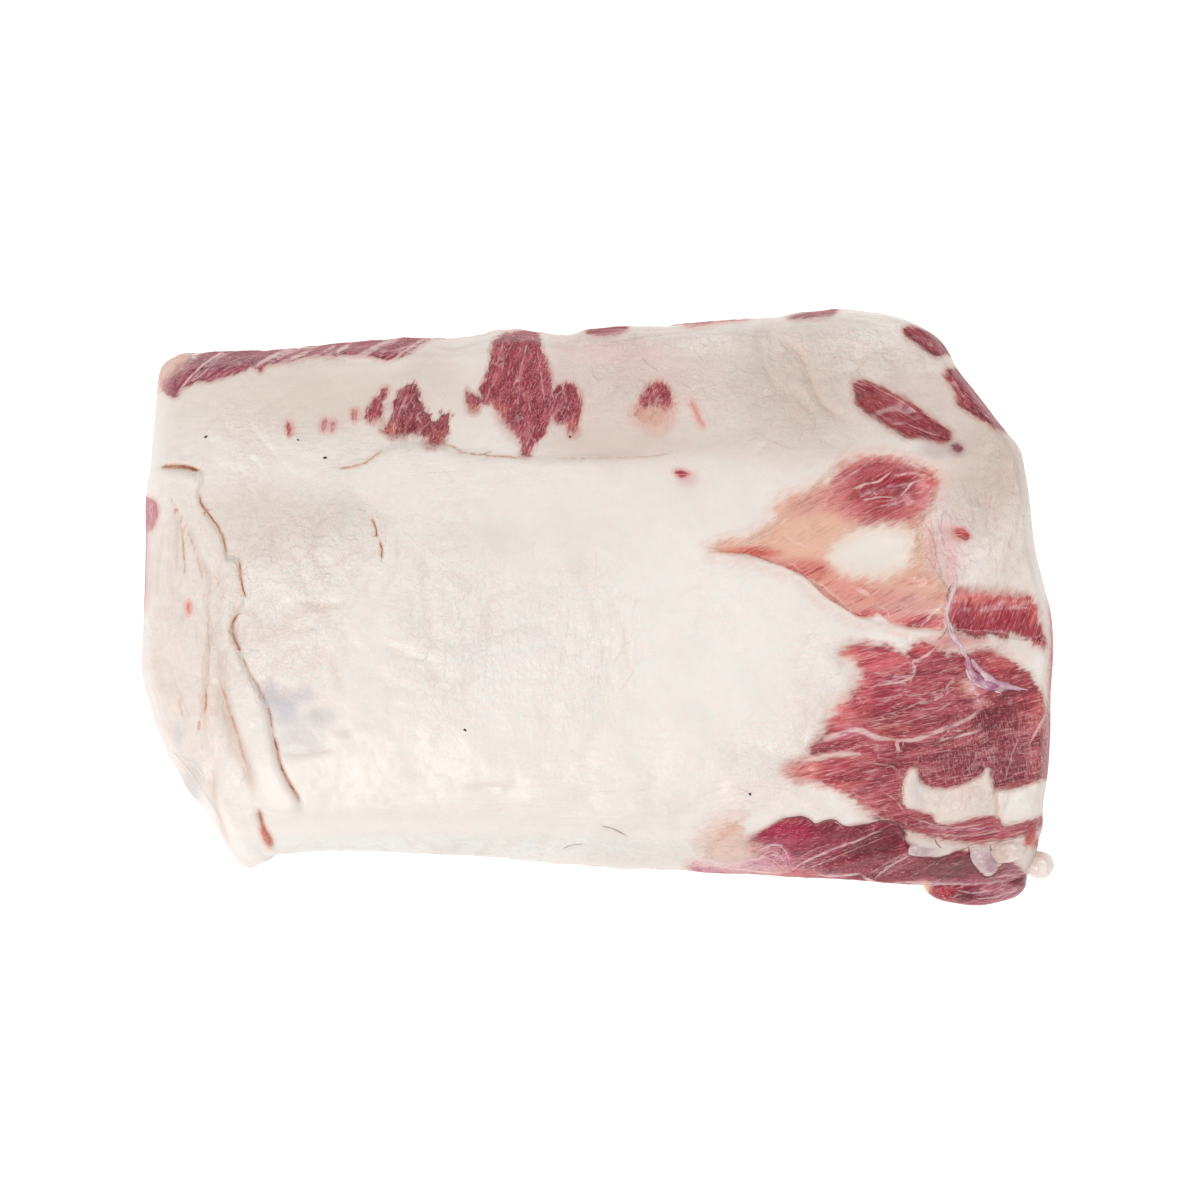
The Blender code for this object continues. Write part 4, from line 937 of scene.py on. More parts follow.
def lean_fields(at):
    """Distance into the nearest lean, fray and softness of its edge, colour, grain in pixels, and calm.

    Calm falls to 0 where patches with unlike grain meet, as the relief is left out there.
    """
    distances = np.stack([outline_distance(at, patch.outline) for patch in LEAN])
    nearest = distances.argmax(0)
    distance = distances.max(0)
    fray = np.array([patch.fray for patch in LEAN])[nearest]
    soft = np.array([patch.soft for patch in LEAN])[nearest]
    for middle, radii, softness in SOFT_EDGES:
        soft = np.maximum(soft, softness * blob_weight(at, middle, radii))
    sharp = np.min([np.abs(line_distance(at, line)[0]) for line in SHARP_EDGES], axis=0)
    blunt = ramp(sharp, 3, 10)
    fray, soft = 1 + (fray - 1) * blunt, 0.9 + (soft - 0.9) * blunt

    weights = np.exp(np.clip(distances, -25, 8) / 3.5)
    colours = np.array([albedo(patch.colour) for patch in LEAN])
    colour = np.einsum("kn,kc->nc", weights, colours) / weights.sum(0)[:, None]
    for middle, radii, tone, strength in LEAN_TONES:
        colour = tint(colour, tone, strength * blob_weight(at, middle, radii))
    depth = 1 - ramp(colour[:, 1:2], 0.16, 0.42)
    colour = colour * (1 + (np.array(UNDER_STREAKS) - 1) * depth)

    for patch in PALE:
        inside = outline_distance(at, patch.outline)
        cuts = -inside < distance
        fray, soft = np.where(cuts, patch.fray, fray), np.where(cuts, patch.soft, soft)
        distance = np.minimum(distance, -inside)

    angles = np.array([patch.grain for patch in LEAN])
    others = np.where(angles[:, None] == angles[nearest][None], -FAR, distances).max(0)
    calm = ramp(distances.max(0) - others, 0.5, 4.0)
    grain = np.stack(turned_plan(*at.T, np.radians(angles)[nearest]), -1)
    return distance, fray, soft, colour, grain, calm


def fat_colour(at):
    """Base colour of the fat, with its soft changes, the pale places in the lean and warm painted shade in
    its folds and wrinkles.
    """
    colour = np.tile(albedo(FAT), (len(at), 1))
    for patch in PALE:
        colour = tint(colour, patch.colour, ramp(outline_distance(at, patch.outline), -2, 3))
    for middle, radii, tone, strength in FAT_TONES_AND_SHADE:
        colour = tint(colour, tone, strength * blob_weight(at, middle, radii))
    # painted shade: the fat is drawn warmer and darker along the valley of each fold and the crease of each
    # wrinkle
    for line, depth, width in FOLDS:
        near = trace(*line_distance(at, line), 0.7 * width)
        colour = tint(colour, VALLEY_SHADE, np.clip(depth * VALLEY_SHADE_PER_METRE, 0, 0.7) * near)
    return tint(colour, VALLEY_SHADE, WRINKLE_SHADE * creases(at)[:, 2] * (1 - ramp(wrinkles(at), 0.0, 0.28)))


def line_field(at, lines):
    """For the line that marks each place most: signed distance to it, strength and half width in pixels.

    Halfway between two lines the sign of the distance flips, so there the strength falls to 0.
    """
    field = np.tile(np.array([LINE_REACH, 0.0, 1.0]), (len(at), 1))
    best, second = np.full(len(at), 23.0), np.full(len(at), FAR)
    for line in lines:
        gap, along = line_distance(at, line.points)
        taper = np.clip(np.minimum(along, 1 - along) / 0.18, 0, 1) ** 0.5
        strength = line.strength * (0.25 + 0.75 * taper) * (1 - ramp(np.abs(gap), 4, 9))
        width = line.width * (0.35 + 0.65 * taper)
        score = np.where(strength > 0, np.abs(gap) - 2 * width - 1.2 * strength, FAR)
        marks = score < best
        second = np.where(marks, best, np.minimum(second, score))
        best = np.minimum(best, score)
        field[marks] = np.stack([gap, strength, width], -1)[marks]
    tied = ramp(second - best, 1.8, 0.3) * ramp(np.abs(field[:, 0]) / field[:, 2], 1.0, 1.8)
    field[:, 1] *= 1 - tied * ramp(field[:, 1], 0.98, 0.85)
    return field


def hidden_lean(points, from_crest, ends, sides):
    """Distance in pixels into the lean on the faces that the camera doesn't see.

    Ends show ovals of muscle, the rib side and the underside the flesh between the ribs.
    """
    x, y, z = points.T
    cut = np.max(
        [(1 - np.hypot((y - oy) / ry, (z - oz) / rz)) * rz for (oy, oz), (ry, rz) in MUSCLES], axis=0
    )
    between_ribs = (from_crest - 0.52) * RIB_PITCH / 2 * np.where(sides, 1 - ramp(z, 0.016, 0.026), 1)
    waves = np.sin(z * 900 + 3 * lattice_noise(x, y, 0.03, 51))
    strips = 0.004 * np.where(sides & ~ends, ramp(z, 0.014, 0.02), 0) * waves
    distance = np.where(ends, cut, between_ribs + strips)
    return (distance + 0.0022 * layered_noise(x + z, y - z, 0.009, 52)) / PIXEL


def veil_strength(at):
    """How much sheer tissue lies over each place, from 0 to 1."""
    strength = np.zeros(len(at))
    for line, width, most in VEILS:
        strength = np.maximum(strength, most * trace(*line_distance(at, line), width, -0.05, 0.3))
    return strength


def dress(mesh, points, hidden=None, openness=None):
    """Writes every colour and mark of the surface into the mesh as attributes.

    Hidden holds the weight, lean edge, lean colour and fat colour of faces that the camera doesn't see.
    Openness is 0 at the outline, where the surface stands steep, and 1 on top.
    """
    at = pixels_of(points)
    distance, fray, soft, colour, grain, calm = lean_fields(at)
    fat, veil = fat_colour(at), veil_strength(at)
    marks = {
        "cracks_and_crease_shade": CRACKS_AND_SHADED_CREASES + drawn_lines(WRINKLE_PLACES, 300, None, (0.3, 0.65), (0.28, 0.56)),
        "sinews_and_highlights": SINEWS_AND_HIGHLIGHT_LINES + drawn_lines(SINEW_PLACES, 200, 16, (0.3, 0.7), (0.2, 0.65)),
        "veins_and_shadow_lines": VEINS_AND_SHADOW_LINES,
    }
    marks = {name: line_field(at, lines) for name, lines in marks.items()}
    crossed = sum(strength * blob_weight(at, middle, radii) for middle, radii, strength in CROSSED)
    if hidden is not None:
        weight, other_distance, other_lean, other_fat = hidden
        distance = blend(distance, other_distance, weight)
        fray, soft = fray + (5 - fray) * weight, soft + (3 - soft) * weight
        colour = blend(colour, other_lean, weight[:, None])
        fat = blend(fat, other_fat, weight[:, None])
        for field in marks.values():
            field[:, 1] *= 1 - weight
        veil = veil * (1 - weight)
    openness = lessened(np.ones(len(points)) if openness is None else openness, at, DULL)
    calm = lessened(calm, at, QUIET)
    put(mesh, "lean_edge", np.stack([distance, fray, soft], -1))
    put(mesh, "grain", np.concatenate([grain, points[:, 2:] / PIXEL], 1))
    for name, field in marks.items():
        put(mesh, name, field)
    put(mesh, "lean_colour", np.concatenate([colour, np.minimum(crossed, 1)[:, None]], 1))
    put(mesh, "fat_colour", np.concatenate([fat, openness[:, None]], 1))
    put(mesh, "veil", np.stack([veil, calm, np.zeros(len(points))], -1))
    put(mesh, "creases", creases(at))


# The kind of attribute for each number of values, and the field that holds them.
ATTRIBUTE_KINDS = {1: ("FLOAT", "value"), 3: ("FLOAT_VECTOR", "vector"), 4: ("FLOAT_COLOR", "color")}


def put(mesh, name, values):
    """Writes a number, a vector or a colour with alpha for each point, as the width of the array says."""
    values = np.asarray(values, np.float32).reshape(len(values), -1)
    kind, field = ATTRIBUTE_KINDS[values.shape[1]]
    mesh.attributes.new(name, kind, "POINT").data.foreach_set(field, values.ravel())


# ---------------------------------------------------------------- shader arithmetic


class Wire:
    """An output socket of a finish, with arithmetic that adds Math nodes."""

    def __init__(self, finish, socket):
        self.finish = finish
        self.socket = socket

    def math(self, operation, *others):
        values = {0: self, **dict(enumerate(others, 1))}
        return self.finish.node("ShaderNodeMath", {"operation": operation}, values)

    def __add__(self, other):
        return self.math("ADD", other)

    __radd__ = __add__

    def __mul__(self, other):
        return self.math("MULTIPLY", other)

    __rmul__ = __mul__

    def __sub__(self, other):
        return self.math("SUBTRACT", other)

    def __rsub__(self, other):
        return self.finish.node("ShaderNodeMath", {"operation": "SUBTRACT"}, {0: other, 1: self})

    def __abs__(self):
        return self.math("ABSOLUTE")

    def step(self, start, end):
        """0 at start and 1 at end, smoothly between. Either may vary."""
        values = {"Value": self, "From Min": start, "From Max": end}
        return self.finish.node("ShaderNodeMapRange", {"interpolation_type": "SMOOTHSTEP"}, values)


class Finish:
    """A material that is being made: node() adds any node, and the rest are shorthands for it."""

    def __init__(self, name, **constants):
        self.material = bpy.data.materials.new(name)
        self.material.use_nodes = True
        self.tree = self.material.node_tree
        self.shader = self.tree.nodes["Principled BSDF"]
        self.feed(metallic=0.0, **constants)

    def node(self, kind, settings=None, values=None, output=0):
        """Adds a node: settings first, then the values or links of its sockets. Returns one output."""
        made = self.tree.nodes.new(kind)
        for name, setting in (settings or {}).items():
            setattr(made, name, setting)
        for name, value in (values or {}).items():
            self.put(made.inputs[name], value)
        return Wire(self, made.outputs[output])

    def put(self, socket, value):
        """Links a wire to the socket, or sets its constant."""
        if isinstance(value, Wire):
            self.tree.links.new(value.socket, socket)
        elif isinstance(value, tuple) and socket.type == "RGBA" and len(value) == 3:
            socket.default_value = (*value, 1)
        else:
            socket.default_value = value

    def feed(self, **values):
        """Sets or links sockets of the shader, each named in lower case with underscores."""
        for name, value in values.items():
            self.put(self.shader.inputs[name.replace("_", " ").title().replace("Ior", "IOR")], value)

    def place(self):
        return self.node("ShaderNodeTexCoord", output="Object")

    def attribute(self, name, output="Vector"):
        return self.node("ShaderNodeAttribute", {"attribute_name": name}, output=output)

    def parts(self, vector):
        """The three numbers of a vector."""
        apart = self.node("ShaderNodeSeparateXYZ", values={0: vector})
        return [Wire(self, socket) for socket in apart.socket.node.outputs]

    def stretch(self, vector, scale):
        return self.node("ShaderNodeVectorMath", {"operation": "MULTIPLY"}, {0: vector, 1: scale})

    def noise(self, vector, scale, detail=2.0, roughness=0.5):
        values = {"Vector": vector, "Scale": scale, "Detail": detail, "Roughness": roughness}
        return self.node("ShaderNodeTexNoise", values=values)

    def drawn_out(self, vector, along, across, detail, roughness=0.5):
        """Noise drawn out along a vector's first axis, with that many cells a unit along and across it."""
        return self.noise(self.stretch(vector, (along, across, across)), 1.0, detail, roughness)

    def ridges(self, place, scale):
        """Noise folded about its middle: 1 along winding ridges, and falling to both sides."""
        return 1 - abs(self.noise(place, scale, 3.0, 0.6) * 2 - 1)

    def mix(self, factor, first, second):
        return self.node("ShaderNodeMix", {"data_type": "RGBA"}, {0: factor, 6: first, 7: second}, 2)

    def towards(self, share, tone, colour):
        """The tone, moved by that share towards a screen colour."""
        return self.mix(share, tone, shade(colour))

    def bump(self, height, distance):
        """A bump whose height is in units of that distance in metres."""
        values = {"Height": height, "Distance": distance, "Strength": 1.0}
        return self.node("ShaderNodeBump", values=values, output="Normal")


def shade(colour):
    """The linear colour for a screen colour, as a socket takes it."""
    return tuple(float(value) for value in albedo(colour))


def line_mask(finish, name, wobble, spread=1.0):
    """How far a place lies in a named line: 1 in its middle and 0 outside its half width."""
    gap, strength, width = finish.parts(finish.attribute(name))
    return strength * (1 - abs(gap + wobble).step(width * spread * 0.45, width * spread * 1.15))


def meat_finish():
    """Fat, lean, tears, creases and sinew lines, with painted shade and painted highlights: colours come from
    attributes, and noise frays and fibres them.
    """
    meat = Finish(
        "raw_meat", subsurface_weight=0.30, subsurface_radius=(1.0, 0.42, 0.30), subsurface_scale=0.0022,
        coat_roughness=0.14, coat_ior=1.38, ior=1.40,
    )
    place, grain = meat.place(), meat.attribute("grain")
    distance, fray, soft = meat.parts(meat.attribute("lean_edge"))
    crossed, openness = meat.attribute("lean_colour", "Alpha"), meat.attribute("fat_colour", "Alpha")
    lean_tone, fat_tone = meat.attribute("lean_colour", "Color"), meat.attribute("fat_colour", "Color")
    tissue, calm, _ = meat.parts(meat.attribute("veil"))
    upright, level, crinkled = meat.parts(meat.attribute("creases"))

    # the edge of the lean frays along its fibres
    strands = meat.drawn_out(grain, 0.07, 0.42, 2.0, 0.6)
    rags = meat.drawn_out(grain, 0.10, 0.16, 1.0)
    edge = distance + fray * (strands * 2.4 + rags * 1.8 - 2.1)
    lean = edge.step(0 - soft * 1.3, soft * 1.3)
    blush = edge.step(-3.4 * soft - 2.0, soft) * 0.60

    # fibres, and the fat that marbles them, with painted shade and highlight that follow the fibre relief
    bundles = meat.drawn_out(grain, 0.020, 0.13, 3.0, 0.55)
    fibres = meat.drawn_out(grain, 0.045, 0.48, 3.0, 0.65)
    hairs = meat.drawn_out(grain, 0.11, 1.10, 2.0, 0.6)
    across = meat.drawn_out(grain, 0.95, 0.12, 1.0, 0.6)
    clusters = meat.drawn_out(grain, 0.022, 0.050, 1.0)
    redness, greenness, _ = meat.parts(lean_tone)
    red = 1 - greenness.step(0.14, 0.42)
    contrast = (0.22 + red * 0.78) * (0.45 + calm * 0.55)
    light = redness.step(0.06, 0.36) * 0.88 + 0.10
    streaks = fibres.step(0.55, 0.64) * clusters.step(0.44, 0.60) * 0.80 * light
    # pale flecks along and across the fibres: partly marbling, partly painted glints of the wet surface
    flecks_and_glints = hairs.step(0.56, 0.65) * clusters.step(0.62, 0.40) + across.step(0.54, 0.64) * crossed
    flecks_and_glints = flecks_and_glints * 0.74 * light
    # the lean's own uneven tone, with painted shade where the fibre relief is low and painted highlight where
    # it is high
    fibre_tone_shade_and_highlight = ((bundles - 0.5) * 2.8 + (fibres - 0.5) * 2.6 + (hairs - 0.5) * 1.4) * contrast
    flesh = meat.mix(0 - fibre_tone_shade_and_highlight * 2.2, lean_tone, meat.stretch(lean_tone, (0.58, 0.34, 0.42)))
    for share, colour in (
        (fibre_tone_shade_and_highlight * 1.5, meat.towards(light * 0.36, lean_tone, (246, 164, 166))),
        (rags.step(0.52, 0.70) * 0.34 * red * light, meat.towards(0.5, lean_tone, (206, 120, 96))),
        (streaks * contrast, meat.towards(0.52, lean_tone, (250, 220, 212))),
        (flecks_and_glints * contrast, meat.towards(0.52, lean_tone, (252, 222, 214))),
    ):
        flesh = meat.mix(share, flesh, colour)
    sheer = tissue * (0.10 + fibres.step(0.34, 0.60) * 0.62 + hairs.step(0.40, 0.62) * 0.28)
    film = meat.towards(0.45, lean_tone, (234, 160, 188))
    film = meat.towards(sheer.step(0.25, 0.85), film, (240, 216, 222))
    flesh = meat.mix(sheer.step(0.0, 0.8) * 0.92, flesh, film)

    # fat: slow mottling, creases with painted warm shade, and the warm blush where lean lies under it
    mottle = meat.noise(place, 55.0, 2.0, 0.55)
    grainy = meat.noise(place, 420.0, 1.0, 0.6)
    pleats = meat.noise(meat.stretch(place, (1.0, 0.20, 1.0)), 430.0, 2.0, 0.6)
    tucks = meat.noise(meat.stretch(place, (0.20, 1.0, 1.0)), 430.0, 2.0, 0.6)
    crinkles = meat.ridges(place, 170.0)
    # painted shade: the fat is drawn warmer and darker along the lines of its crinkles, pleats and tucks
    crease_shade = crinkles.step(0.90, 0.995) * crinkled * 0.24 + pleats.step(0.62, 0.80) * upright * 0.24
    crease_shade = crease_shade + tucks.step(0.62, 0.80) * level * 0.20
    fat = meat.mix(mottle.step(0.42, 0.72) * 0.60, fat_tone, meat.stretch(fat_tone, (0.93, 0.93, 0.93)))
    fat = meat.mix(grainy.step(0.55, 0.80) * 0.22, fat, meat.towards(0.35, fat_tone, (226, 202, 188)))
    fat = meat.mix(crease_shade, fat, meat.towards(0.5, fat_tone, (200, 150, 132)))
    fat = meat.mix(blush, fat, meat.towards(0.32, lean_tone, (240, 194, 158)))
    skin = meat.mix(lean, fat, flesh)

    # pale lines, dark lines of vein and painted shadow, and tears, which break up and wobble along their
    # length
    wobble = (meat.noise(place, 260.0, 2.0, 0.65) - 0.5) * 1.8
    jags = (meat.noise(place, 620.0, 2.0, 0.7) - 0.5) * 3.4
    broken = meat.noise(place, 160.0, 1.0).step(0.38, 0.56) * 0.65 + 0.35
    spread = 0.45 + meat.noise(place, 230.0, 1.0) * 1.3
    sinews_and_highlights = line_mask(meat, "sinews_and_highlights", wobble, spread) * broken
    # sinew lines, and lines of painted highlight, drawn whitish pink
    skin = meat.mix(sinews_and_highlights * 0.80, skin, meat.towards(0.86, lean_tone, (244, 214, 204)))
    # vein and seam lines, and lines of painted shadow, drawn dark purple-red
    skin = meat.towards(line_mask(meat, "veins_and_shadow_lines", wobble, spread) * 0.86, skin, (118, 28, 60))
    gap, strength, width = meat.parts(meat.attribute("cracks_and_crease_shade"))
    deep = strength.step(0.35, 0.85)
    glow = strength.step(0.5, 0.95) * (1 - abs(gap + jags * 0.6).step(width * 0.6, width * 1.6 + 2.0)) * 0.62
    skin = meat.towards(glow, skin, (226, 162, 126))
    # painted shade along creases and under the fold's edge, and the raw colour of tears: faint lines
    # grey-brown, strong ones red-brown
    crack_and_crease_line = line_mask(meat, "cracks_and_crease_shade", jags) * broken
    raw_edge_and_crease_shade = meat.mix(deep, shade((192, 148, 128)), shade((166, 88, 60)))
    skin = meat.mix(crack_and_crease_line * (0.46 + deep * 0.36) * strength, skin, raw_edge_and_crease_shade)

    height_fat = mottle * 1.5 + grainy * 0.20 + crinkles * crinkles * crinkled * 1.3
    height_fat = height_fat + pleats * upright * 1.5 + tucks * level * 1.4
    height_lean = (bundles * 2.0 + fibres * 1.3 + hairs * 0.45 + across * crossed * 0.7) * contrast * calm
    height = height_fat * (1 - lean) + height_lean * lean + sinews_and_highlights * 0.35 - crack_and_crease_line * strength * 0.5
    meat.feed(
        base_color=skin,
        roughness=0.70 - openness * (0.26 + lean * 0.08) + (mottle - 0.5) * 0.16,
        coat_weight=(0.16 + lean * 0.30) * openness,
        normal=meat.bump(height, 0.0005),
    )
    return meat.material


def gristle_finish():
    """Milky, wet gristle: clouded, with a fine pink web."""
    gristle = Finish(
        "gristle", subsurface_weight=0.4, subsurface_radius=(1.0, 0.55, 0.50), subsurface_scale=0.003,
        coat_weight=0.30, coat_roughness=0.12, ior=1.40,
    )
    place, tone = gristle.place(), gristle.attribute("tone", "Color")
    cloud = gristle.noise(place, 150.0, 4.0, 0.6)
    web = gristle.ridges(place, 260.0)
    colour = gristle.mix(cloud.step(0.36, 0.66) * 0.75, tone, gristle.towards(0.5, tone, (246, 236, 228)))
    colour = gristle.mix(web.step(0.86, 0.98) * 0.35, colour, gristle.towards(0.4, tone, (176, 112, 128)))
    height = cloud * 1.4 + web * 0.7
    gristle.feed(base_color=colour, roughness=0.30 + cloud * 0.24, normal=gristle.bump(height, 0.0006))
    return gristle.material


def bone_finish():
    """Sawn bone: a hard pale rim round red, spongy marrow."""
    bone = Finish("sawn_bone", subsurface_weight=0.2, subsurface_scale=0.002, ior=1.42)
    place = bone.place()
    pores = bone.noise(place, 900.0, 3.0, 0.6)
    marrow = bone.mix(pores.step(0.40, 0.62), shade((120, 48, 50)), shade((196, 118, 104)))
    rim = bone.mix(bone.noise(place, 200.0).step(0.4, 0.7), shade((226, 206, 194)), shade((212, 180, 172)))
    inside = (bone.attribute("from_middle", "Fac") + (bone.noise(place, 260.0) - 0.5) * 0.3).step(0.72, 0.60)
    colour = bone.mix(inside, rim, marrow)
    bone.feed(base_color=colour, roughness=0.5 - inside * 0.12, normal=bone.bump(pores, 0.0003))
    return bone.material


def vein_finish():
    """A collapsed vein and its threads: dull purple to pink, moist."""
    vein = Finish("vein", subsurface_weight=0.2, subsurface_scale=0.002, roughness=0.3, coat_weight=0.2)
    tone = vein.attribute("tone", "Color")
    cloud = vein.noise(vein.place(), 230.0, 3.0, 0.6)
    colour = vein.mix(cloud.step(0.38, 0.66), tone, vein.towards(0.5, tone, (240, 214, 210)))
    vein.feed(base_color=colour, normal=vein.bump(cloud, 0.0004))
    return vein.material


def speck_finish():
    """Dull, nearly black, a little uneven."""
    speck = Finish("dark_speck", roughness=0.6)
    cloud = speck.noise(speck.place(), 2000.0)
    speck.feed(base_color=speck.mix(cloud, (0.012, 0.009, 0.008), (0.05, 0.035, 0.03)))
    return speck.material


def floor_finish():
    """A white light table: lit from below, so that nothing casts a dark shadow on it."""
    floor = Finish("pale_floor", roughness=0.85)
    cloud = floor.noise(floor.place(), 3.0)
    floor.feed(base_color=floor.mix(cloud, (0.90, 0.90, 0.90), (0.92, 0.92, 0.92)), emission_strength=0.42)
    return floor.material


# ---------------------------------------------------------------- pieces


def mesh_object(name, points, faces, finish):
    """A smooth-shaded object at the origin with its place in its mesh."""
    mesh = bpy.data.meshes.new(name)
    mesh.from_pydata(points, [], faces)
    mesh.shade_smooth()
    mesh.materials.append(finish)
    made = bpy.data.objects.new(name, mesh)
    bpy.context.scene.collection.objects.link(made)
    return made


def joined(parts):
    """The points and faces of several meshes as those of one."""
    points, faces = [], []
    for part_points, part_faces in parts:
        first = sum(map(len, points))
        faces += [[first + corner for corner in face] for face in part_faces]
        points.append(part_points)
    return np.vstack(points), faces


def on_root(piece, slot, *nodes):
    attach(piece, "root")
    if nodes:
        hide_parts(*nodes)
    return piece


def slab_faces(rows, columns):
    """Squares of the fat side and, from every second row, of the underside, which share the outline.

    Beside the outline an underside cell also takes the finer corners of the fat side, so no seam opens.
    """
    fine = np.arange(rows * columns).reshape(rows, columns)
    coarse = fine[::2, ::2].copy()
    inner = coarse[1:-1, 1:-1].shape
    coarse[1:-1, 1:-1] = rows * columns + np.arange(inner[0] * inner[1]).reshape(inner)

    def squares(corner):
        cells = np.stack([corner[:-1, :-1], corner[1:, :-1], corner[1:, 1:], corner[:-1, 1:]], -1)
        return cells.reshape(-1, 4)

    faces = squares(fine).tolist() + squares(coarse[1:-1, 1:-1])[:, ::-1].tolist()
    for turn in range(4):
        fine_side, coarse_side = np.rot90(fine, turn), np.rot90(coarse, turn)
        a, b = coarse_side[1:-2, 0], coarse_side[2:-1, 0]
        c, d = coarse_side[1:-2, 1], coarse_side[2:-1, 1]
        faces += np.stack([a, c, d, b, fine_side[3:-3:2, 0]], -1).tolist()
        faces.append([*fine_side[0, :3], coarse_side[1, 1], fine_side[2, 0], fine_side[1, 0]])
    return faces


def make_slab(finish):
    """The slab: fat side and underside as one closed surface, with its marks."""
    top, under, gaps, from_crest = slab_sheets()
    rows, columns = top.shape[:2]
    inside = (slice(2, -2, 2), slice(2, -2, 2))
    points = np.concatenate([top.reshape(-1, 3), under[inside].reshape(-1, 3)])
    slab = mesh_object("slab", points, slab_faces(rows, columns), finish)

    gaps = np.concatenate([gaps.reshape(4, -1), gaps[:, inside[0], inside[1]].reshape(4, -1)], 1)
    crest = np.broadcast_to(from_crest, (rows, columns))
    crest = np.concatenate([crest.ravel(), crest[inside].ravel()])
    below = np.arange(len(points)) >= rows * columns
    nearest = gaps.min(0)
    at_edge = nearest < UNDER_ROUND
    cut = at_edge | ~below
    ends = at_edge & (gaps[:2].min(0) < gaps[2:].min(0))
    lean, fat = (
        np.where(cut[:, None], albedo(sawn), albedo(covered)) for sawn, covered in (HIDDEN_LEAN, HIDDEN_FAT)
    )
    weight = np.where(below, 1.0, 1 - ramp(nearest, 0.0001, 0.0009))
    hidden = (weight, hidden_lean(points, crest, ends, cut), lean, fat)
    dress(slab.data, points, hidden, ramp(nearest, 0.0, STEEP_EDGE))
    return on_root(slab, "raw_meat", "pork_rack")


def oval_grid(rings, sides):
    """Angles of a closed ball: up from the lower pole and round."""
    up = np.linspace(-math.pi / 2, math.pi / 2, rings + 1)[1:-1]
    round_ = np.linspace(0, 2 * math.pi, sides, endpoint=False)
    return np.meshgrid(up, round_, indexing="ij")


def ball_faces(rings, sides):
    """Squares between the rings of a ball, and a fan of triangles to each pole."""
    ring = 1 + np.arange((rings - 1) * sides).reshape(rings - 1, sides)
    after = np.roll(ring, -1, 1)
    squares = np.stack([ring[:-1], after[:-1], after[1:], ring[1:]], -1).reshape(-1, 4)
    south = np.stack([np.full(sides, 0), after[0], ring[0]], -1)
    north = np.stack([ring[-1], after[-1], np.full(sides, 1 + ring.size)], -1)
    return squares.tolist() + south.tolist() + north.tolist()


def ball_points(half_sizes, shape, rings, sides):
    """A ball stretched to its half sizes, its radius varied by shape(up, round): poles first and last."""
    up, round_ = oval_grid(rings, sides)
    radius = shape(up, round_)
    unit = np.stack([np.cos(up) * np.cos(round_), np.cos(up) * np.sin(round_), np.sin(up)], -1)
    unit = unit * radius[..., None]
    ends = [float(np.mean(radius[0])), float(np.mean(radius[-1]))]
    points = np.vstack([[(0, 0, -ends[0])], unit.reshape(-1, 3), [(0, 0, ends[1])]])
    return points * np.array(half_sizes)


def squared(round_):
    """Radius of a superellipse, which is squarer than a circle."""
    power = 2.7
    return (np.abs(np.cos(round_)) ** power + np.abs(np.sin(round_)) ** power) ** (-1 / power)


def turned(points, tilt, heading):
    """The points turned about X, then about Z, by degrees."""
    a, b = math.radians(tilt), math.radians(heading)
    about_x = np.array([(1, 0, 0), (0, math.cos(a), -math.sin(a)), (0, math.sin(a), math.cos(a))])
    about_z = np.array([(math.cos(b), -math.sin(b), 0), (math.sin(b), math.cos(b), 0), (0, 0, 1)])
    return points @ about_x.T @ about_z.T


# Milky gristle at the end of each spine bone: name, the node it stands for, middle in pixels, height, full
# sizes, turns about X and Z in degrees, how much it narrows, how lumpy it is, and the colours of its thick
# and narrow end.
TIPS = (
    ("milky_tip", "gristle_tip_1", (936, 844), 0.0556, (0.0256, 0.0104, 0.0080), (24, 4), 0.50, 1.0,
        ((192, 164, 166), (232, 214, 204))),
    ("broad_tip", "gristle_tip_2", (1007, 851), 0.0516, (0.0142, 0.0100, 0.0090), (26, 4), 0.10, 1.0,
        ((216, 192, 182), (238, 222, 211))),
    ("hanging_tip", None, (984, 857), 0.0506, (0.0142, 0.0108, 0.0078), (0, -68), 0.22, 0.8, ((212, 188, 190),
        (192, 162, 166))),
    ("button_tip", "gristle_tip_3", (1040, 865), 0.0375, (0.0116, 0.0116, 0.0108), (0, -20), 0.0, 0.3,
        ((238, 216, 206), (250, 240, 232))),
)


def make_tip(name, node, pixels, height, full_sizes, turns, taper, lumpy, colours, finish):
    """A tip of gristle: a flattened, lumpy ball that narrows to its own +X, its colour changing along it."""
    half = np.array(full_sizes) / 2

    def shape(up, round_):
        """Squarer than an oval seen from above, with waves round it that die out at the poles."""
        lumps = 0.05 * np.sin(2 * round_ + up) + 0.03 * np.sin(4 * round_ + 3 * up) * np.cos(up)
        lumps += (squared(round_) - 1) * np.cos(up)
        return 1 + lumpy * (lumps + 0.02 * np.sin(7 * round_ - 4 * up) * np.cos(up))

    local = ball_points(half, shape, *TIP_GRID)
    share = local[:, :1] / half[0]
    local[:, 1:] *= 1 - taper * ramp(share, -0.4, 1.0)
    points = turned(local, *turns) + np.array((*plan_of(np.array(pixels), height), height))
    tip = mesh_object(name, points, ball_faces(*TIP_GRID), finish)
    tone = blend(albedo(colours[0]), albedo(colours[1]), ramp(share, -0.45, 0.35))
    put(tip.data, "tone", np.concatenate([tone, np.ones((len(tone), 1))], 1))
    return on_root(tip, "gristle", *([node] if node else []))


LOBE_MIDDLE, LOBE_HALF_SIZES = (0.1606, -0.1116, 0.0175), (0.0230, 0.0138, 0.0145)


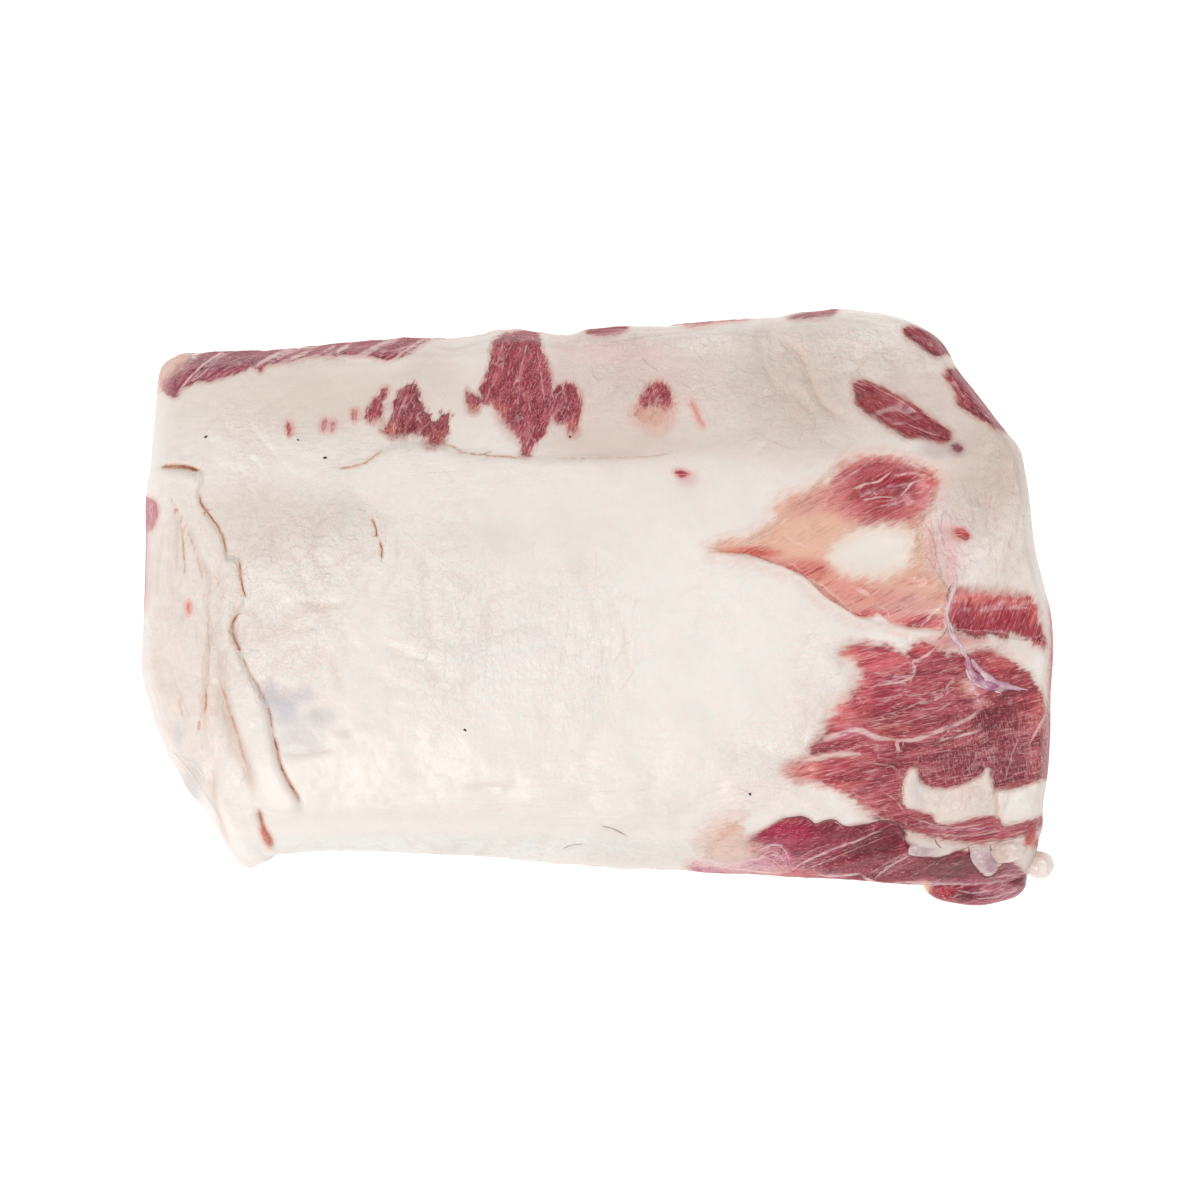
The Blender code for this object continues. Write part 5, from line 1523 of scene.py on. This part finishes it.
def make_lobe(finish):
    """The lobe of muscle that hangs from under the spine's edge: a flattened ball with uneven folds."""

    def shape(up, round_):
        """Squarer than an oval seen from above, with shallow folds."""
        folds = 0.025 * np.sin(3 * round_ + 2 * up) + 0.02 * np.sin(7 * round_ - 3 * up)
        return 1 + ((squared(round_) - 1) + folds) * np.cos(up)

    points = ball_points(LOBE_HALF_SIZES, shape, *LOBE_GRID) + np.array(LOBE_MIDDLE)
    points[:, 2] += 0.0006 * layered_noise(points[:, 0] * 0.4, points[:, 1], 0.004, 61)
    lobe = mesh_object("hanging_lobe", points, ball_faces(*LOBE_GRID), finish)
    dress(lobe.data, points)
    return on_root(lobe, "raw_meat")


# Rows of sawn bone: name, how many, edge, height of its rim, 1 where they face +Y, height and half sizes.
BONES = (
    ("rib_ends", RIB_COUNT, RIB_EDGE, RIM_AT_RIBS, 1, 0.0115, (0.0068, 0.0042)),
    ("spine_bones", 10, SPINE_EDGE, RIM_AT_SPINE, -1, 0.0155, (0.0115, 0.0085)),
)
DOME_RISE, BONE_INSET = 0.0016, 0.0009


def make_bones(name, count, edge, rim, facing, height, half_sizes, finish):
    """Sawn faces of bone along one side, a flat dome for each rib, standing a little out of the flesh."""
    domes, from_middle = [], []
    for k, place in enumerate(curve_through(edge, (np.arange(count) + 0.5) / RIB_COUNT)):
        wider, higher, turn, _ = np.random.default_rng(70 + k).uniform(-1, 1, 4)
        sizes = (half_sizes[0] * (1 + 0.10 * wider), half_sizes[1] * (1 + 0.08 * higher), DOME_RISE)
        dome = ball_points(sizes, lambda up, round_: 1 + 0.05 * np.sin(3 * round_ + 4 * turn), *BONE_GRID)
        from_middle.append(np.hypot(dome[:, 0] / half_sizes[0], dome[:, 1] / half_sizes[1]))
        x, y = plan_of(place, rim)
        middle = np.array((x, y - facing * BONE_INSET, height))
        domes.append((turned(dome, -90 * facing, 0) + middle, ball_faces(*BONE_GRID)))
    bones = mesh_object(name, *joined(domes), finish)
    put(bones.data, "from_middle", np.concatenate(from_middle))
    return on_root(bones, "raw_meat")


def surface_under(tree, pixels):
    """Where the camera's lines of sight through those pixels meet the slab."""
    eye = Vector(CAMERA)
    found = []
    for pixel in np.atleast_2d(pixels):
        x, y = plan_of(pixel, SCALE_HEIGHT)
        found.append(tree.ray_cast(eye, (Vector((x, y, SCALE_HEIGHT)) - eye).normalized())[0])
    return np.array(found)


def tube(path, radii, sides=12):
    """A round tube along a path on the slab, its radius given at each point and both ends closed."""
    ahead = np.gradient(path, axis=0)
    ahead /= np.linalg.norm(ahead, axis=1, keepdims=True)
    across = np.cross(ahead, (0, 0, 1))
    across /= np.linalg.norm(across, axis=1, keepdims=True)
    above = np.cross(across, ahead)
    angle = np.linspace(0, 2 * math.pi, sides, endpoint=False)
    ring = np.cos(angle)[None, :, None] * across[:, None] + np.sin(angle)[None, :, None] * above[:, None]
    points = path[:, None] + ring * radii[:, None, None]
    corner = np.arange(points.shape[0] * sides).reshape(-1, sides)
    after = np.roll(corner, -1, 1)
    faces = np.stack([corner[:-1], corner[1:], after[1:], after[:-1]], -1).reshape(-1, 4).tolist()
    return points.reshape(-1, 3), faces + [corner[0].tolist(), corner[-1, ::-1].tolist()]


# Threads of membrane and the flat vein that they join: line in pixels, greatest radius in metres, colour.
THREADS = (
    (((953, 568), (956, 582), (951, 598), (947, 612), (948, 624)), 0.0009, (230, 196, 196)),
    (((948, 616), (950, 632), (957, 643), (964, 654), (970, 663)), 0.0008, (216, 178, 190)),
    (((950, 622), (954, 636), (961, 646), (967, 656)), 0.0005, (234, 208, 210)),
    (((967, 656), (969, 668), (975, 678), (984, 684), (995, 687), (1008, 689)), 0.0020, (176, 108, 140)),
    (((971, 659), (978, 668), (986, 676), (995, 682), (1007, 686), (1021, 690)), 0.0016, (198, 148, 168)),
    (((966, 668), (970, 678), (979, 685), (990, 689), (1003, 691)), 0.0007, (230, 206, 218)),
    (((976, 664), (982, 670), (986, 680), (996, 685), (1010, 688)), 0.0006, (224, 198, 212)),
    (((980, 674), (990, 680), (1004, 684), (1018, 688), (1028, 690)), 0.0006, (214, 184, 202)),
    (((984, 688), (993, 690), (1001, 693)), 0.0006, (244, 232, 232)),
    # fine threads over the rim of the fold
    (((172, 750), (183, 763), (194, 777), (203, 792), (212, 808)), 0.0004, (240, 234, 228)),
    (((178, 756), (188, 760), (198, 768), (206, 782)), 0.0004, (238, 230, 224)),
    (((194, 780), (202, 790), (211, 802), (222, 822)), 0.0004, (236, 230, 226)),
)


def make_threads(tree, finish):
    """Threads and vein as thin tubes half sunk in the surface, fading at both ends."""
    tubes, tones = [], []
    for line, radius, tone in THREADS:
        path = surface_under(tree, curve_through(line, np.linspace(0, 1, 10 * len(line))))
        share = np.linspace(0, 1, len(path))
        radii = radius * (0.25 + 0.75 * np.sin(math.pi * share) ** 0.6) * (1 + 0.2 * np.sin(19 * share))
        path[:, 2] -= 0.3 * radii
        tubes.append(tube(path, radii))
        tones.append(np.tile([*albedo(tone), 1], (len(tubes[-1][0]), 1)))
    threads = mesh_object("vein_and_threads", *joined(tubes), finish)
    put(threads.data, "tone", np.vstack(tones))
    return on_root(threads, "raw_meat")


# Dark specks: place in pixels and half length in pixels.
SPECKS = (
    (206, 437, 1.9), (325, 458, 2.0), (298, 440, 1.3), (465, 730, 1.6), (750, 794, 1.7), (570, 437, 1.6),
)


def make_specks(tree, finish):
    """Dark specks on the fat: flat lumps a pixel or so across."""
    lumps = []
    for k, (px, py, size) in enumerate(SPECKS):
        half_sizes = (size * PIXEL, 0.8 * size * PIXEL, 0.5 * PIXEL)
        lump = ball_points(half_sizes, lambda up, round_: 1 + 0.2 * np.sin(2 * round_ + k), *SPECK_GRID)
        lumps.append((lump + surface_under(tree, (px, py))[0], ball_faces(*SPECK_GRID)))
    return on_root(mesh_object("dark_specks", *joined(lumps), finish), "raw_meat")


# ---------------------------------------------------------------- stage


FLOOR = 4.0  # half the length of its side
SKY_STRENGTH = 0.55
LIT_PLACE = (0, 0, 0.03)
# Soft lights: name, place, diameter and power.
LAMPS = (
    ("front_softbox", (-0.50, -0.95, 1.40), 0.7, 14.0),
    ("back_softbox", (0.70, 0.80, 1.50), 0.6, 8.5),
    ("left_softbox", (-1.20, 0.30, 1.15), 0.6, 4.5),
)


def make_stage():
    """A pale floor, soft light from three sides, and the camera straight above."""
    corners = [(-FLOOR, -FLOOR, 0), (FLOOR, -FLOOR, 0), (FLOOR, FLOOR, 0), (-FLOOR, FLOOR, 0)]
    floor = mesh_object("floor", corners, [(0, 1, 2, 3)], floor_finish())
    world = bpy.context.scene.world or bpy.data.worlds.new("studio")
    bpy.context.scene.world = world
    world.use_nodes = True
    world.node_tree.nodes["Background"].inputs["Color"].default_value = (1.0, 1.0, 1.0, 1)
    world.node_tree.nodes["Background"].inputs["Strength"].default_value = SKY_STRENGTH
    for name, place, size, power in LAMPS:
        light = bpy.data.lights.new(name, "AREA")
        light.shape = "DISK"
        light.size = size
        light.energy = power
        lamp = bpy.data.objects.new(name, light)
        lamp.location = place
        lamp.rotation_euler = (Vector(LIT_PLACE) - Vector(place)).to_track_quat("-Z", "Y").to_euler()
        bpy.context.scene.collection.objects.link(lamp)

    lens = bpy.data.cameras.new("camera")
    lens.sensor_width = SENSOR
    lens.lens = SENSOR * (CAMERA[2] - SCALE_HEIGHT) / (PICTURE * PIXEL)
    camera = bpy.data.objects.new("camera", lens)
    camera.location = CAMERA
    bpy.context.scene.collection.objects.link(camera)
    bpy.context.scene.camera = camera
    bpy.context.scene.view_settings.view_transform = "Standard"


def main():
    meat, gristle, bone = meat_finish(), gristle_finish(), bone_finish()
    make_stage()
    slab = make_slab(meat)
    make_lobe(meat)
    for tip in TIPS:
        make_tip(*tip, gristle)
    for row in BONES:
        make_bones(*row, bone)
    tree = BVHTree.FromObject(slab, bpy.context.evaluated_depsgraph_get())
    make_threads(tree, vein_finish())
    make_specks(tree, speck_finish())


main()
